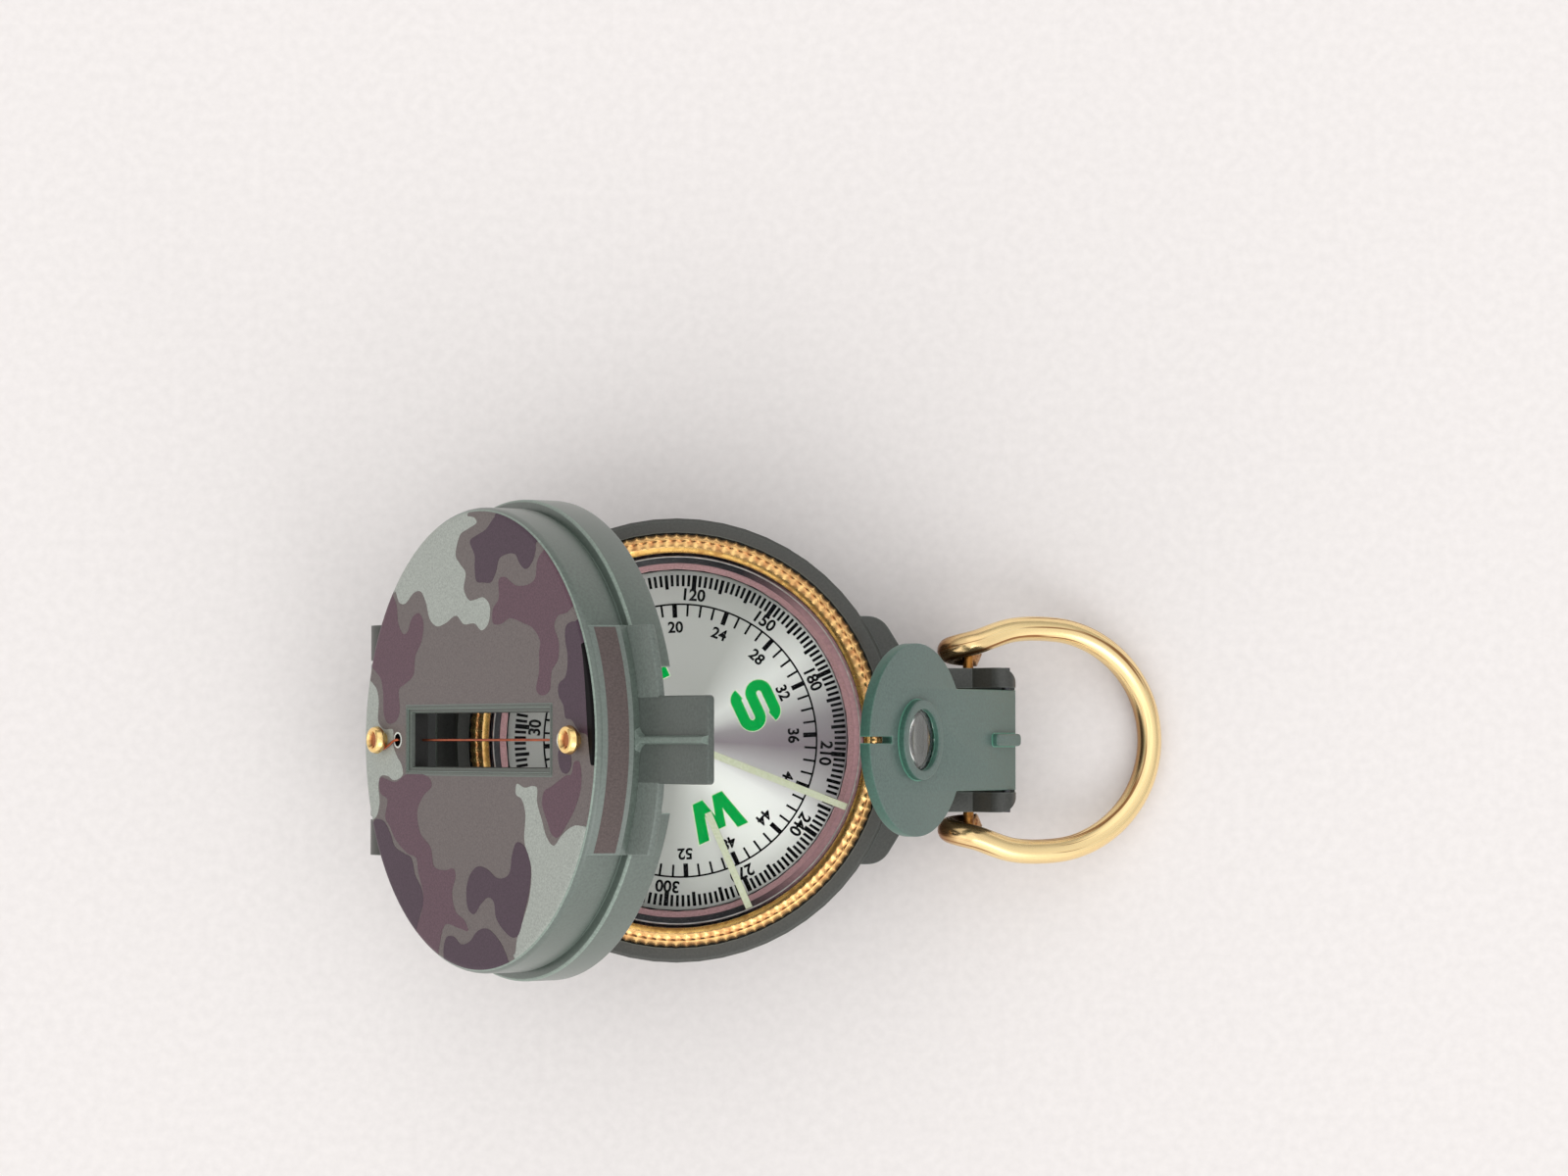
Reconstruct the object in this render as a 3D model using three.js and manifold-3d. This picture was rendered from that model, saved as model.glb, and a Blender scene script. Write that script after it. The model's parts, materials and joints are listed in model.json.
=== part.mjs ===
// Folding sighting compass with a hinged cover, a lens bracket and a thumb ring.
// Millimetres, +Z up. The origin is on the dial's axis at the underside of the case.
// +X points from the cover's hinge to the thumb ring, so the object is mirror-like about Y = 0.
import * as THREE from 'three';
import { mergeVertices } from 'three/addons/utils/BufferGeometryUtils.js';
import Module from 'manifold-3d';

const wasm = await Module();
wasm.setup();

// Rest pose, in degrees
const COVER_OPEN = 56;
const BRACKET_RAISED = 59;

// Case
const FLANGE_TOP = 15;
const FLANGE_THICKNESS = 2.2;
const FLANGE_RADIUS = 27;
const FLANGE_EDGE = 0.35;
const WAIST_RADIUS = 25.3;
const FOOT_RADIUS = 23.6;
const FOOT_EDGE = 1.2;
const FLOOR_THICKNESS = 1.6;

// Bezel and its seat in the case
const BEZEL_RADIUS = 25;
const BEZEL_OPENING_RADIUS = 22.75;
const BEZEL_HEIGHT = 3.1;
const BEZEL_PROUD = 1.6;
const BEZEL_SIDE_GAP = 0.25;
const BEZEL_RUNNING_GAP = 0.12;
const BEZEL_LIP = 0.9;
const BEZEL_LIP_SLOPE = 0.55;
const BEZEL_BEVEL_HEIGHT = 0.95;
const BEZEL_BEVEL_WIDTH = 0.75;
const KNURL_TEETH = 128;
const KNURL_DEPTH = 0.2;
const SCALLOP_DEPTH = 0.22;
const GLASS_THICKNESS = 1;
const GLASS_SEAT_WIDTH = 0.75;
const GLASS_GAP = 0.1;

// Luminous strips on the bezel glass: width, thickness, angle from +X and reach from the centre
const STRIP_WIDTH = 0.85;
const STRIP_THICKNESS = 0.15;
const STRIP_OUTER_REACH = 22.2;
const LONG_STRIP_ANGLE = -21.5;
const LONG_STRIP_INNER_REACH = 1.2;
const SHORT_STRIP_ANGLE = -66.5;
const SHORT_STRIP_INNER_REACH = 9.6;

// Liquid capsule, stacked under the bezel
const CAPSULE_RADIUS = 22.75;
const CAPSULE_WALL = 1.35;
const CAPSULE_FLOOR = 1.2;
const CAPSULE_SIDE_GAP = 0.25;
const CAPSULE_DROP = 0.1;
const RETAINER_THICKNESS = 0.7;
const RETAINER_WIDTH = 1.15;
const CRYSTAL_THICKNESS = 1;
const SEAL_THICKNESS = 0.4;
const SEAL_WIDTH = 1.8;
const NEEDLE_BOSS_RADIUS = 2;
const NEEDLE_BOSS_HEIGHT = 1.8;
const NEEDLE_RADIUS = 0.6;
const NEEDLE_SOCKET_GAP = 0.06;
const NEEDLE_POINT_LENGTH = 1.6;
const NEEDLE_POINT_RADIUS = 0.12;

// Floating dial
const DIAL_RADIUS = 20.9;
const DIAL_THICKNESS = 0.4;
const DIAL_BELOW_CRYSTAL = 2;
const JEWEL_RADIUS = 1.3;
const JEWEL_HEIGHT = 2.2;
const JEWEL_PROUD = 0.66;
const JEWEL_TOP_RADIUS = 0.7;
const JEWEL_CUP_RADIUS = 0.8;
const JEWEL_CUP_DEPTH = 1.4;
const JEWEL_RIDE_GAP = 0.2;
const JEWEL_FIT = 0.06;
const MAGNET_LENGTH = 22;
const MAGNET_WIDTH = 4;
const MAGNET_THICKNESS = 1.4;

// Click spring in a pocket under the bezel
const SPRING_LENGTH = 8.4;
const SPRING_WIDTH = 0.9;
const SPRING_THICKNESS = 0.25;
const SPRING_RISE = 0.62;
const SPRING_POCKET_DEPTH = 1;
const SPRING_POCKET_GAP = 0.15;

// Cover hinge: two ears on the case and one knuckle on the cover
const HINGE_REACH = 33;
const HINGE_RISE = 1.15;
const HINGE_BARREL_RADIUS = 4;
const HINGE_WIDTH = 27.7;
const HINGE_EAR_WIDTH = 4.25;
const HINGE_SIDE_GAP = 0.3;
const HINGE_PIN_RADIUS = 1;
const PIN_RUNNING_GAP = 0.07;
const EAR_DROP = 0.25;
const EAR_FOOT_HEIGHT = 4;
const EAR_ROOT_REACH = 18.9;
const EAR_GUSSET_ANGLE = 237;
const HINGE_WEB_GAP = 0.5;
const KNUCKLE_ARM_DROP = 0.4;

// Cover, described closed
const COVER_GAP = 0.6;
const SKIRT_RADIUS = 27.45;
const SKIRT_WALL = 1.25;
const SKIRT_HEIGHT = 4.2;
const SKIRT_EDGE = 0.35;
const GROOVE_HEIGHT = 0.5;
const GROOVE_DEPTH = 0.3;
const CAP_INSET = 1.05;
const CAP_HEIGHT = 5;
const CAP_EDGE = 0.9;
const CAP_WALL = 1.65;
const COVER_PLATE = 1.4;
const SKIRT_LEDGE = 0.6;

// Lifting tab and the block it grows from at the cover's free end
const TAB_LENGTH = 9.7;
const TAB_WIDTH = 9.5;
const TAB_THICKNESS = 0.9;
const TAB_LEDGE_PROUD = 4.45;
const TAB_BELOW_FACE = 5.1;
const BLOCK_WIDTH = 25;
const BLOCK_PROUD = 0.45;
const BLOCK_STEP = 0.8;
const TAB_RIB_WIDTH = 1;
const TAB_RIB_HEIGHT = 0.7;
const NOTCH_WIDTH = 16;

// Sighting window, wire and studs in the cover, centred a little nearer the free end
const WINDOW_CENTRE = 0.6;
const WINDOW_WIDTH = 6.2;
const WINDOW_FRAME = 1;
const WINDOW_FRAME_DEPTH = 2.4;
const WINDOW_FRAME_PROUD = 0.12;
const WIRE_RADIUS = 0.18;
const WIRE_LIFT = 0.04;
const WIRE_NECK_GAP = 0.1;
const WIRE_BEND = 0.45;
const WIRE_BELOW_PLATE = 0.35;
const WIRE_HOLE_RADIUS = 0.75;
const WIRE_HOLE_MARGIN = 1.15;
const WIRE_RUN = 3.3;
const WIRE_PASSAGE_RADIUS = 0.45;
const STUD_MARGIN = 1.45;
const STUD_HEAD_RADIUS = 1.65;
const STUD_HEAD_HEIGHT = 1.25;
const STUD_NECK_RADIUS = 0.85;
const STUD_NECK_HEIGHT = 0.5;
const STUD_SHANK_RADIUS = 0.7;
const STUD_RIVET_RADIUS = 1.2;
const STUD_RIVET_HEIGHT = 0.5;
const STUD_DIMPLE = 0.3;
const STUD_HEAD_SHAPE = [[0.8, 0.1], [1, 0.4], [0.85, 0.8], [0.45, 1]];
const STUD_FIT = 0.1;

// Clevis tail on the case, which carries the lens bracket and the thumb ring
const TAIL_OVERHANG = 1.2;
const TAIL_WIDTH = 17.5;
const TAIL_CORNER = 2;
const TAIL_TOE = 4;
const TAIL_BELOW_FLANGE = 0.6;
const TAIL_DEPTH = 8.2;
const NECK_WIDTH = 30.2;
const NECK_REACH = 24.9;
const NECK_TAPER_REACH = 28.8;
const NECK_CORNER = 1.8;
const CLEVIS_GAP = 0.3;
const CLEVIS_SLOT_RUN = 5.8;
const CLEVIS_SLOT_DEPTH = 2.2;
const CLEVIS_EAR_RUN = 4;
const CLEVIS_EAR_RADIUS = 1.9;
const CLEVIS_EAR_DROP = 0.2;
const CLEVIS_EAR_ARC = 130;

// Lens bracket, described folded flat with its hinge axis at its own origin
const BRACKET_AXIS_REACH = 40;
const BRACKET_AXIS_RISE = 1;
const BRACKET_THICKNESS = 1.4;
const BRACKET_STEM_WIDTH = 12.1;
const BRACKET_DISC_RADIUS = 11.25;
const BRACKET_DISC_OFFSET = 23.3;
const BRACKET_BARREL_RADIUS = 1.25;
const BRACKET_PIN_RADIUS = 0.5;
const SIGHT_SLOT_WIDTH = 0.75;
const SIGHT_SLOT_LENGTH = 5.2;
const COLLAR_RADIUS = 4.7;
const COLLAR_HEIGHT = 0.9;
const COLLAR_EDGE = 0.27;
const LENS_APERTURE_RADIUS = 3.55;
const LENS_RADIUS = 4;
const LENS_EDGE = 0.5;
const LENS_CROWN = 0.5;
const LENS_FIT = 0.12;
const LENS_LIP = 0.7;
const LENS_SEAT_GAP = 0.2;
const LENS_RETAINER_HEIGHT = 0.45;
const LENS_RETAINER_WIDTH = 0.5;
const THUMB_RIB_WIDTH = 1.5;
const THUMB_RIB_LENGTH = 6.2;
const THUMB_RIB_HEIGHT = 0.8;

// Thumb ring
const RING_WIRE_RADIUS = 1.5;
const RING_PIVOT_REACH = 35.7;
const RING_PIVOT_HEIGHT = 10;
const RING_LENGTH = 24.4;
const RING_HALF_WIDTH = 13.7;
const RING_ARC_LENGTH = 15;
const RING_EYE_RADIUS = 2.3;
const RING_EYE_OFFSET = 10.9;
const RING_EYE_SHIFT = 0.35;
const RING_ARM_BULGE = 0.75;
const RING_EYE_TURN = 235;
const RING_PIN_RADIUS = 0.65;
const RING_TABLE_GAP = 0.05;

// Facets
const ROUND_SIDES = 60;
const INNER_SIDES = 40;
const SMALL_SIDES = 20;
const WIRE_SIDES = 6;
const STUD_SIDES = 12;
const RING_SIDES = 8;
const RING_EYE_POINTS = 9;
const RING_ARC_POINTS = 6;
const RING_STEPS = 2;
const WIRE_STEPS = 3;
const LENS_STEPS = 3;
const CURVE_STEPS = 8;
const WELD = 1e-4;
const OVERCUT = 1;

// Levels that several pieces share
const SEAT_TOP = FLANGE_TOP + BEZEL_PROUD - BEZEL_HEIGHT - BEZEL_RUNNING_GAP;
const SEAT_RADIUS = BEZEL_RADIUS + BEZEL_SIDE_GAP;
const BORE_RADIUS = CAPSULE_RADIUS + CAPSULE_SIDE_GAP;
const BEZEL_BOTTOM = SEAT_TOP + BEZEL_RUNNING_GAP;
const BEZEL_TOP = FLANGE_TOP + BEZEL_PROUD;
const GLASS_SEAT_TOP = BEZEL_TOP - BEZEL_LIP - BEZEL_LIP_SLOPE;
const GLASS_TOP = GLASS_SEAT_TOP - GLASS_GAP;
const RETAINER_TOP = SEAT_TOP - CAPSULE_DROP;
const CRYSTAL_TOP = RETAINER_TOP - RETAINER_THICKNESS;
const SEAL_TOP = CRYSTAL_TOP - CRYSTAL_THICKNESS;
const CUP_TOP = SEAL_TOP - SEAL_THICKNESS;
const CUP_INSIDE_RADIUS = CAPSULE_RADIUS - CAPSULE_WALL;
const CUP_FLOOR_TOP = FLOOR_THICKNESS + CAPSULE_FLOOR;
const DIAL_TOP = SEAL_TOP - DIAL_BELOW_CRYSTAL;
const DIAL_BOTTOM = DIAL_TOP - DIAL_THICKNESS;
const JEWEL_TOP = DIAL_TOP + JEWEL_PROUD;
const JEWEL_BOTTOM = JEWEL_TOP - JEWEL_HEIGHT;
const NEEDLE_TIP = JEWEL_BOTTOM + JEWEL_CUP_DEPTH - JEWEL_RIDE_GAP;

const HINGE_X = -HINGE_REACH;
const HINGE_Z = FLANGE_TOP + HINGE_RISE;
const KNUCKLE_HALF = HINGE_WIDTH / 2 - HINGE_EAR_WIDTH - HINGE_SIDE_GAP;
const SKIRT_BOTTOM = FLANGE_TOP + COVER_GAP;
const SKIRT_TOP = SKIRT_BOTTOM + SKIRT_HEIGHT;
const SKIRT_INSIDE_RADIUS = SKIRT_RADIUS - SKIRT_WALL;
const SKIRT_INSIDE_TOP = SKIRT_TOP - SKIRT_LEDGE;
const CAP_BOTTOM = SKIRT_TOP + GROOVE_HEIGHT;
const FACE_TOP = CAP_BOTTOM + CAP_HEIGHT;
const PLATE_BOTTOM = FACE_TOP - COVER_PLATE;
const CAP_RADIUS = SKIRT_RADIUS - CAP_INSET;
const CAP_INSIDE_RADIUS = CAP_RADIUS - CAP_WALL;
const BLOCK_SHOULDER_RADIUS = SKIRT_RADIUS + BLOCK_PROUD;
const TAB_LEDGE_RADIUS = SKIRT_RADIUS + TAB_LEDGE_PROUD;
const TAB_TOP = FACE_TOP - TAB_BELOW_FACE;
const TAB_BOTTOM = TAB_TOP - TAB_THICKNESS;
const TAB_END = TAB_LEDGE_RADIUS + TAB_LENGTH;
const STUD_OFFSET = CAP_RADIUS - CAP_EDGE - STUD_MARGIN - STUD_HEAD_RADIUS - WINDOW_CENTRE;
const WIRE_HOLE_OFFSET = STUD_OFFSET - WIRE_RUN;
const WINDOW_LENGTH = 2 * (WIRE_HOLE_OFFSET - WIRE_HOLE_RADIUS - WIRE_HOLE_MARGIN - WINDOW_FRAME);
const WINDOW_FRAME_BOTTOM = FACE_TOP - WINDOW_FRAME_DEPTH;
const WINDOW_FRAME_TOP = FACE_TOP + WINDOW_FRAME_PROUD;

const TAIL_END = BRACKET_AXIS_REACH + TAIL_OVERHANG;
const CLEVIS_SLOT_REACH = BRACKET_AXIS_REACH - CLEVIS_SLOT_RUN;
const CLEVIS_EAR_REACH = BRACKET_AXIS_REACH - CLEVIS_EAR_RUN;
const TAIL_TOP = FLANGE_TOP - TAIL_BELOW_FLANGE;
const TAIL_BOTTOM = TAIL_TOP - TAIL_DEPTH;
const BRACKET_AXIS_Z = FLANGE_TOP + BRACKET_AXIS_RISE;
const CLEVIS_INSIDE = BRACKET_STEM_WIDTH + 2 * CLEVIS_GAP;
const COLLAR_TOP = BRACKET_THICKNESS / 2 + COLLAR_HEIGHT;
const LENS_SEAT = COLLAR_TOP - LENS_LIP;

// The ring hangs from its pivot until its far end meets the table.
const RING_DROP = RING_PIVOT_HEIGHT - RING_WIRE_RADIUS - RING_TABLE_GAP;
const RING_REACH = Math.hypot(RING_LENGTH, RING_EYE_RADIUS);
const RING_TILT = Math.asin(RING_DROP / RING_REACH) + Math.atan2(RING_EYE_RADIUS, RING_LENGTH);

// Materials
function paint(color, roughness, metalness) {
  return new THREE.MeshStandardMaterial({ color, roughness, metalness });
}
const casePlastic = paint(0x4d5a52, 0.55, 0);
const coverPlastic = paint(0x6f736b, 0.5, 0);
const bracketPlastic = paint(0x54786a, 0.5, 0);
const goldBrass = paint(0xd9a441, 0.28, 1);
const steel = paint(0xb9bcc0, 0.35, 1);
const copperWire = paint(0xb5543c, 0.4, 1);
const dialMetal = paint(0xc9cacb, 0.4, 0.7);
const magnetSteel = paint(0x4b4d52, 0.5, 0.8);
const jewelStone = paint(0x9b2f52, 0.2, 0);
const blackPlastic = paint(0x1d1d24, 0.45, 0);
const sealRubber = paint(0x2b2b2b, 0.9, 0);
const capsulePlastic = paint(0xa88a93, 0.45, 0);
const clearGlass = paint(0xe8eef0, 0.05, 0);
const luminousPaint = paint(0xe4ecc2, 0.6, 0);

// A closed triangle mesh becomes a solid that can be joined and cut.
function solidFrom(geometry) {
  const bare = geometry.clone();
  bare.deleteAttribute('normal');
  bare.deleteAttribute('uv');
  const merged = mergeVertices(bare, WELD);
  const position = merged.getAttribute('position');
  const index = merged.index.array;
  const corners = [];
  for (let i = 0; i < index.length; i += 3) {
    const [a, b, c] = [index[i], index[i + 1], index[i + 2]];
    if (a !== b && b !== c && c !== a) corners.push([a, b, c]);
  }
  const point = (i) => new THREE.Vector3().fromBufferAttribute(position, i);
  const volume = corners.reduce((sum, [a, b, c]) => sum + point(a).dot(point(b).cross(point(c))), 0);
  const triVerts = Uint32Array.from(corners.flatMap(([a, b, c]) => (volume < 0 ? [a, c, b] : [a, b, c])));
  const vertProperties = Float32Array.from(position.array);
  return new wasm.Manifold(new wasm.Mesh({ numProp: 3, vertProperties, triVerts }));
}

function meshFrom(name, solid, material) {
  const { vertProperties, triVerts } = solid.getMesh();
  const geometry = new THREE.BufferGeometry();
  geometry.setAttribute('position', new THREE.BufferAttribute(vertProperties, 3));
  geometry.setIndex(new THREE.BufferAttribute(triVerts, 1));
  geometry.computeVertexNormals();
  const mesh = new THREE.Mesh(geometry, material);
  mesh.name = name;
  return mesh;
}

const joined = (...solids) => solids.reduce((whole, next) => whole.add(next));

// A profile of [radius, height] points turned about Z. It closes on the axis or on itself.
function turned(profile, sides) {
  const points = profile.map(([radius, height]) => new THREE.Vector2(radius, height));
  const onAxis = profile[0][0] === 0 && profile[profile.length - 1][0] === 0;
  if (!onAxis) points.push(points[0].clone());
  return solidFrom(new THREE.LatheGeometry(points, sides).rotateX(Math.PI / 2));
}

const ringOf = (inner, outer, bottom, top, sides) =>
  turned([[inner, bottom], [outer, bottom], [outer, top], [inner, top]], sides);

function outline(points) {
  return new THREE.Shape(points.map(([x, y]) => new THREE.Vector2(x, y)));
}

// A plan shape in XY raised from one level to another.
function raised(shape, bottom, top) {
  const settings = { depth: top - bottom, bevelEnabled: false, curveSegments: CURVE_STEPS };
  const geometry = new THREE.ExtrudeGeometry(shape, settings);
  return solidFrom(geometry.translate(0, 0, bottom));
}

// A side shape in XZ carried across Y.
function across(shape, near, far) {
  const settings = { depth: far - near, bevelEnabled: false, curveSegments: CURVE_STEPS };
  const geometry = new THREE.ExtrudeGeometry(shape, settings);
  return solidFrom(geometry.rotateX(Math.PI / 2).translate(0, far, 0));
}

function block(low, high) {
  const size = high.map((value, i) => value - low[i]);
  const centre = high.map((value, i) => (value + low[i]) / 2);
  return solidFrom(new THREE.BoxGeometry(...size).translate(...centre));
}

// A round bar along Y.
function bar(radius, near, far, x, z, sides = SMALL_SIDES) {
  const geometry = new THREE.CylinderGeometry(radius, radius, far - near, sides);
  return solidFrom(geometry.translate(x, (near + far) / 2, z));
}

// A round bar along Z.
function post(radius, bottom, top, x, y, sides = SMALL_SIDES) {
  const geometry = new THREE.CylinderGeometry(radius, radius, top - bottom, sides);
  return solidFrom(geometry.rotateX(Math.PI / 2).translate(x, y, (bottom + top) / 2));
}

// A curve whose steps follow its points, so that tight bends get as many steps as long runs.
class SteppedCurve extends THREE.CatmullRomCurve3 {
  getPointAt(u, target) {
    return this.getPoint(u, target);
  }

  getTangentAt(u, target) {
    return this.getTangent(u, target);
  }
}

// A round wire through points, with the same number of steps between each two of them.
function wireThrough(points, radius, stepsBetween, sides) {
  const extrudePath = new SteppedCurve(points.map(([x, y, z]) => new THREE.Vector3(x, y, z)));
  const steps = stepsBetween * (points.length - 1);
  const section = outline(
    Array.from({ length: sides }, (_, i) => {
      const angle = (2 * Math.PI * i) / sides;
      return [radius * Math.cos(angle), radius * Math.sin(angle)];
    }),
  );
  return solidFrom(new THREE.ExtrudeGeometry(section, { steps, bevelEnabled: false, extrudePath }));
}

// Rings of points about Z, joined in turn into one closed skin. The last ring joins the first.
// Each ring's count is equal to, a multiple of or a divisor of the next ring's count.
function loftedRings(rings) {
  const positions = [];
  const starts = rings.map((ring) => {
    const start = positions.length / 3;
    for (let i = 0; i < ring.count; i += 1) {
      const angle = (2 * Math.PI * i) / ring.count;
      const radius = ring.radius(i);
      positions.push(radius * Math.cos(angle), radius * Math.sin(angle), ring.height);
    }
    return start;
  });
  const index = [];
  rings.forEach((ring, k) => {
    const nextIndex = (k + 1) % rings.length;
    const next = rings[nextIndex];
    const finer = Math.max(ring.count, next.count);
    const here = (i) => starts[k] + (Math.floor((i * ring.count) / finer) % ring.count);
    const there = (i) => starts[nextIndex] + (Math.floor((i * next.count) / finer) % next.count);
    for (let i = 0; i < finer; i += 1) {
      index.push(here(i), here(i + 1), there(i + 1), here(i), there(i + 1), there(i));
    }
  });
  const geometry = new THREE.BufferGeometry();
  geometry.setAttribute('position', new THREE.Float32BufferAttribute(positions, 3));
  geometry.setIndex(index);
  return solidFrom(geometry);
}

// Plan of the neck and tail: a wide root, a taper and a narrow end, with round corners.
function tailPlan() {
  const root = NECK_REACH / 2;
  const half = TAIL_WIDTH / 2;
  const neckHalf = NECK_WIDTH / 2;
  const taperRun = NECK_TAPER_REACH - NECK_REACH;
  const taperDrop = neckHalf - half;
  const share = NECK_CORNER / Math.hypot(taperRun, taperDrop);
  const turnX = NECK_REACH + share * taperRun;
  const turnY = neckHalf - share * taperDrop;
  const shape = new THREE.Shape();
  shape.moveTo(root, -neckHalf);
  shape.lineTo(NECK_REACH - NECK_CORNER, -neckHalf);
  shape.quadraticCurveTo(NECK_REACH, -neckHalf, turnX, -turnY);
  shape.lineTo(NECK_TAPER_REACH, -half);
  shape.lineTo(TAIL_END - TAIL_CORNER, -half);
  shape.absarc(TAIL_END - TAIL_CORNER, TAIL_CORNER - half, TAIL_CORNER, -Math.PI / 2, 0);
  shape.lineTo(TAIL_END, half - TAIL_CORNER);
  shape.absarc(TAIL_END - TAIL_CORNER, half - TAIL_CORNER, TAIL_CORNER, 0, Math.PI / 2);
  shape.lineTo(NECK_TAPER_REACH, half);
  shape.lineTo(turnX, turnY);
  shape.quadraticCurveTo(NECK_REACH, neckHalf, NECK_REACH - NECK_CORNER, neckHalf);
  shape.lineTo(root, neckHalf);
  return shape;
}

// Side of the neck and tail: a flat top that rises into the clevis ears, and a rounded lower end.
function tailSide() {
  const root = NECK_REACH / 2;
  const earCentre = TAIL_END - CLEVIS_EAR_RADIUS;
  const earZ = BRACKET_AXIS_Z - CLEVIS_EAR_DROP;
  const shape = new THREE.Shape();
  shape.moveTo(root, TAIL_BOTTOM);
  shape.lineTo(TAIL_END - TAIL_TOE, TAIL_BOTTOM);
  shape.quadraticCurveTo(TAIL_END, TAIL_BOTTOM, TAIL_END, TAIL_BOTTOM + TAIL_TOE);
  shape.lineTo(TAIL_END, earZ);
  shape.absarc(earCentre, earZ, CLEVIS_EAR_RADIUS, 0, THREE.MathUtils.degToRad(CLEVIS_EAR_ARC));
  shape.lineTo(CLEVIS_EAR_REACH, TAIL_TOP);
  shape.lineTo(root, TAIL_TOP);
  return shape;
}

function tail() {
  const above = BRACKET_AXIS_Z + CLEVIS_EAR_RADIUS + OVERCUT;
  const body = raised(tailPlan(), TAIL_BOTTOM - OVERCUT, above)
    .intersect(across(tailSide(), -NECK_WIDTH, NECK_WIDTH));
  const slotFloor = BRACKET_AXIS_Z - CLEVIS_SLOT_DEPTH;
  const slot = block(
    [CLEVIS_SLOT_REACH, -CLEVIS_INSIDE / 2, slotFloor],
    [TAIL_END + OVERCUT, CLEVIS_INSIDE / 2, above],
  );
  const bracketHole = BRACKET_PIN_RADIUS + PIN_RUNNING_GAP;
  const bracketBore = bar(bracketHole, -TAIL_WIDTH, TAIL_WIDTH, BRACKET_AXIS_REACH, BRACKET_AXIS_Z);
  const ringHole = RING_PIN_RADIUS + PIN_RUNNING_GAP;
  const ringBore = bar(ringHole, -TAIL_WIDTH, TAIL_WIDTH, RING_PIVOT_REACH, RING_PIVOT_HEIGHT);
  return body.subtract(slot).subtract(bracketBore).subtract(ringBore);
}

// Where the sloping underside of the hinge meets the barrels.
function gussetEnd() {
  const angle = THREE.MathUtils.degToRad(EAR_GUSSET_ANGLE);
  return [HINGE_X + HINGE_BARREL_RADIUS * Math.cos(angle), HINGE_Z + HINGE_BARREL_RADIUS * Math.sin(angle)];
}

// The web that joins the two ears below the cover's knuckle.
function hingeWeb(near, far) {
  const [endX, endZ] = gussetEnd();
  const top = HINGE_Z - HINGE_BARREL_RADIUS - HINGE_WEB_GAP;
  const share = (top - EAR_FOOT_HEIGHT) / (endZ - EAR_FOOT_HEIGHT);
  const web = outline([
    [-EAR_ROOT_REACH, EAR_FOOT_HEIGHT],
    [-EAR_ROOT_REACH, top],
    [-EAR_ROOT_REACH + share * (endX + EAR_ROOT_REACH), top],
  ]);
  return across(web, near, far);
}

// One ear of the cover hinge, from the barrel down a gusset to the case wall.
function hingeEar(near, far) {
  const top = FLANGE_TOP - EAR_DROP;
  const gusset = outline([
    [-EAR_ROOT_REACH, EAR_FOOT_HEIGHT],
    [-EAR_ROOT_REACH, top],
    [HINGE_X, top],
    gussetEnd(),
  ]);
  return joined(
    bar(HINGE_BARREL_RADIUS, near, far, HINGE_X, HINGE_Z, INNER_SIDES),
    across(gusset, near, far),
  );
}

function springPocket() {
  const middle = (SEAT_RADIUS + BORE_RADIUS) / 2;
  const half = SPRING_LENGTH / 2 + SPRING_POCKET_GAP;
  const side = SPRING_WIDTH / 2 + SPRING_POCKET_GAP;
  return block(
    [-half, middle - side, SEAT_TOP - SPRING_POCKET_DEPTH],
    [half, middle + side, SEAT_TOP + OVERCUT],
  );
}

function baseCase() {
  const flangeUnder = FLANGE_TOP - FLANGE_THICKNESS;
  const body = turned([
    [0, 0],
    [FOOT_RADIUS - FOOT_EDGE, 0],
    [FOOT_RADIUS, FOOT_EDGE],
    [WAIST_RADIUS, flangeUnder - FLANGE_EDGE],
    [FLANGE_RADIUS - FLANGE_EDGE, flangeUnder],
    [FLANGE_RADIUS, flangeUnder + FLANGE_EDGE],
    [FLANGE_RADIUS, FLANGE_TOP - FLANGE_EDGE],
    [FLANGE_RADIUS - FLANGE_EDGE, FLANGE_TOP],
    [0, FLANGE_TOP],
  ], ROUND_SIDES);
  const hollow = turned([
    [0, FLOOR_THICKNESS],
    [BORE_RADIUS, FLOOR_THICKNESS],
    [BORE_RADIUS, SEAT_TOP],
    [SEAT_RADIUS, SEAT_TOP],
    [SEAT_RADIUS, FLANGE_TOP + OVERCUT],
    [0, FLANGE_TOP + OVERCUT],
  ], ROUND_SIDES);
  const half = HINGE_WIDTH / 2;
  const hingeBore = bar(HINGE_PIN_RADIUS + PIN_RUNNING_GAP, -HINGE_WIDTH, HINGE_WIDTH, HINGE_X, HINGE_Z);
  const inner = half - HINGE_EAR_WIDTH;
  return joined(body, tail(), hingeWeb(-inner, inner), hingeEar(inner, half), hingeEar(-half, -inner))
    .subtract(hollow)
    .subtract(springPocket())
    .subtract(hingeBore);
}

function capsuleCup() {
  const boss = CUP_FLOOR_TOP + NEEDLE_BOSS_HEIGHT;
  const socket = NEEDLE_RADIUS + NEEDLE_SOCKET_GAP;
  return turned([
    [0, FLOOR_THICKNESS],
    [CAPSULE_RADIUS, FLOOR_THICKNESS],
    [CAPSULE_RADIUS, CUP_TOP],
    [CUP_INSIDE_RADIUS, CUP_TOP],
    [CUP_INSIDE_RADIUS, CUP_FLOOR_TOP],
    [NEEDLE_BOSS_RADIUS, CUP_FLOOR_TOP],
    [NEEDLE_BOSS_RADIUS, boss],
    [socket, boss],
    [socket, CUP_FLOOR_TOP],
    [0, CUP_FLOOR_TOP],
  ], INNER_SIDES);
}

function capsuleSeal() {
  return ringOf(CAPSULE_RADIUS - SEAL_WIDTH, CAPSULE_RADIUS, CUP_TOP, SEAL_TOP, INNER_SIDES);
}

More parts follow.
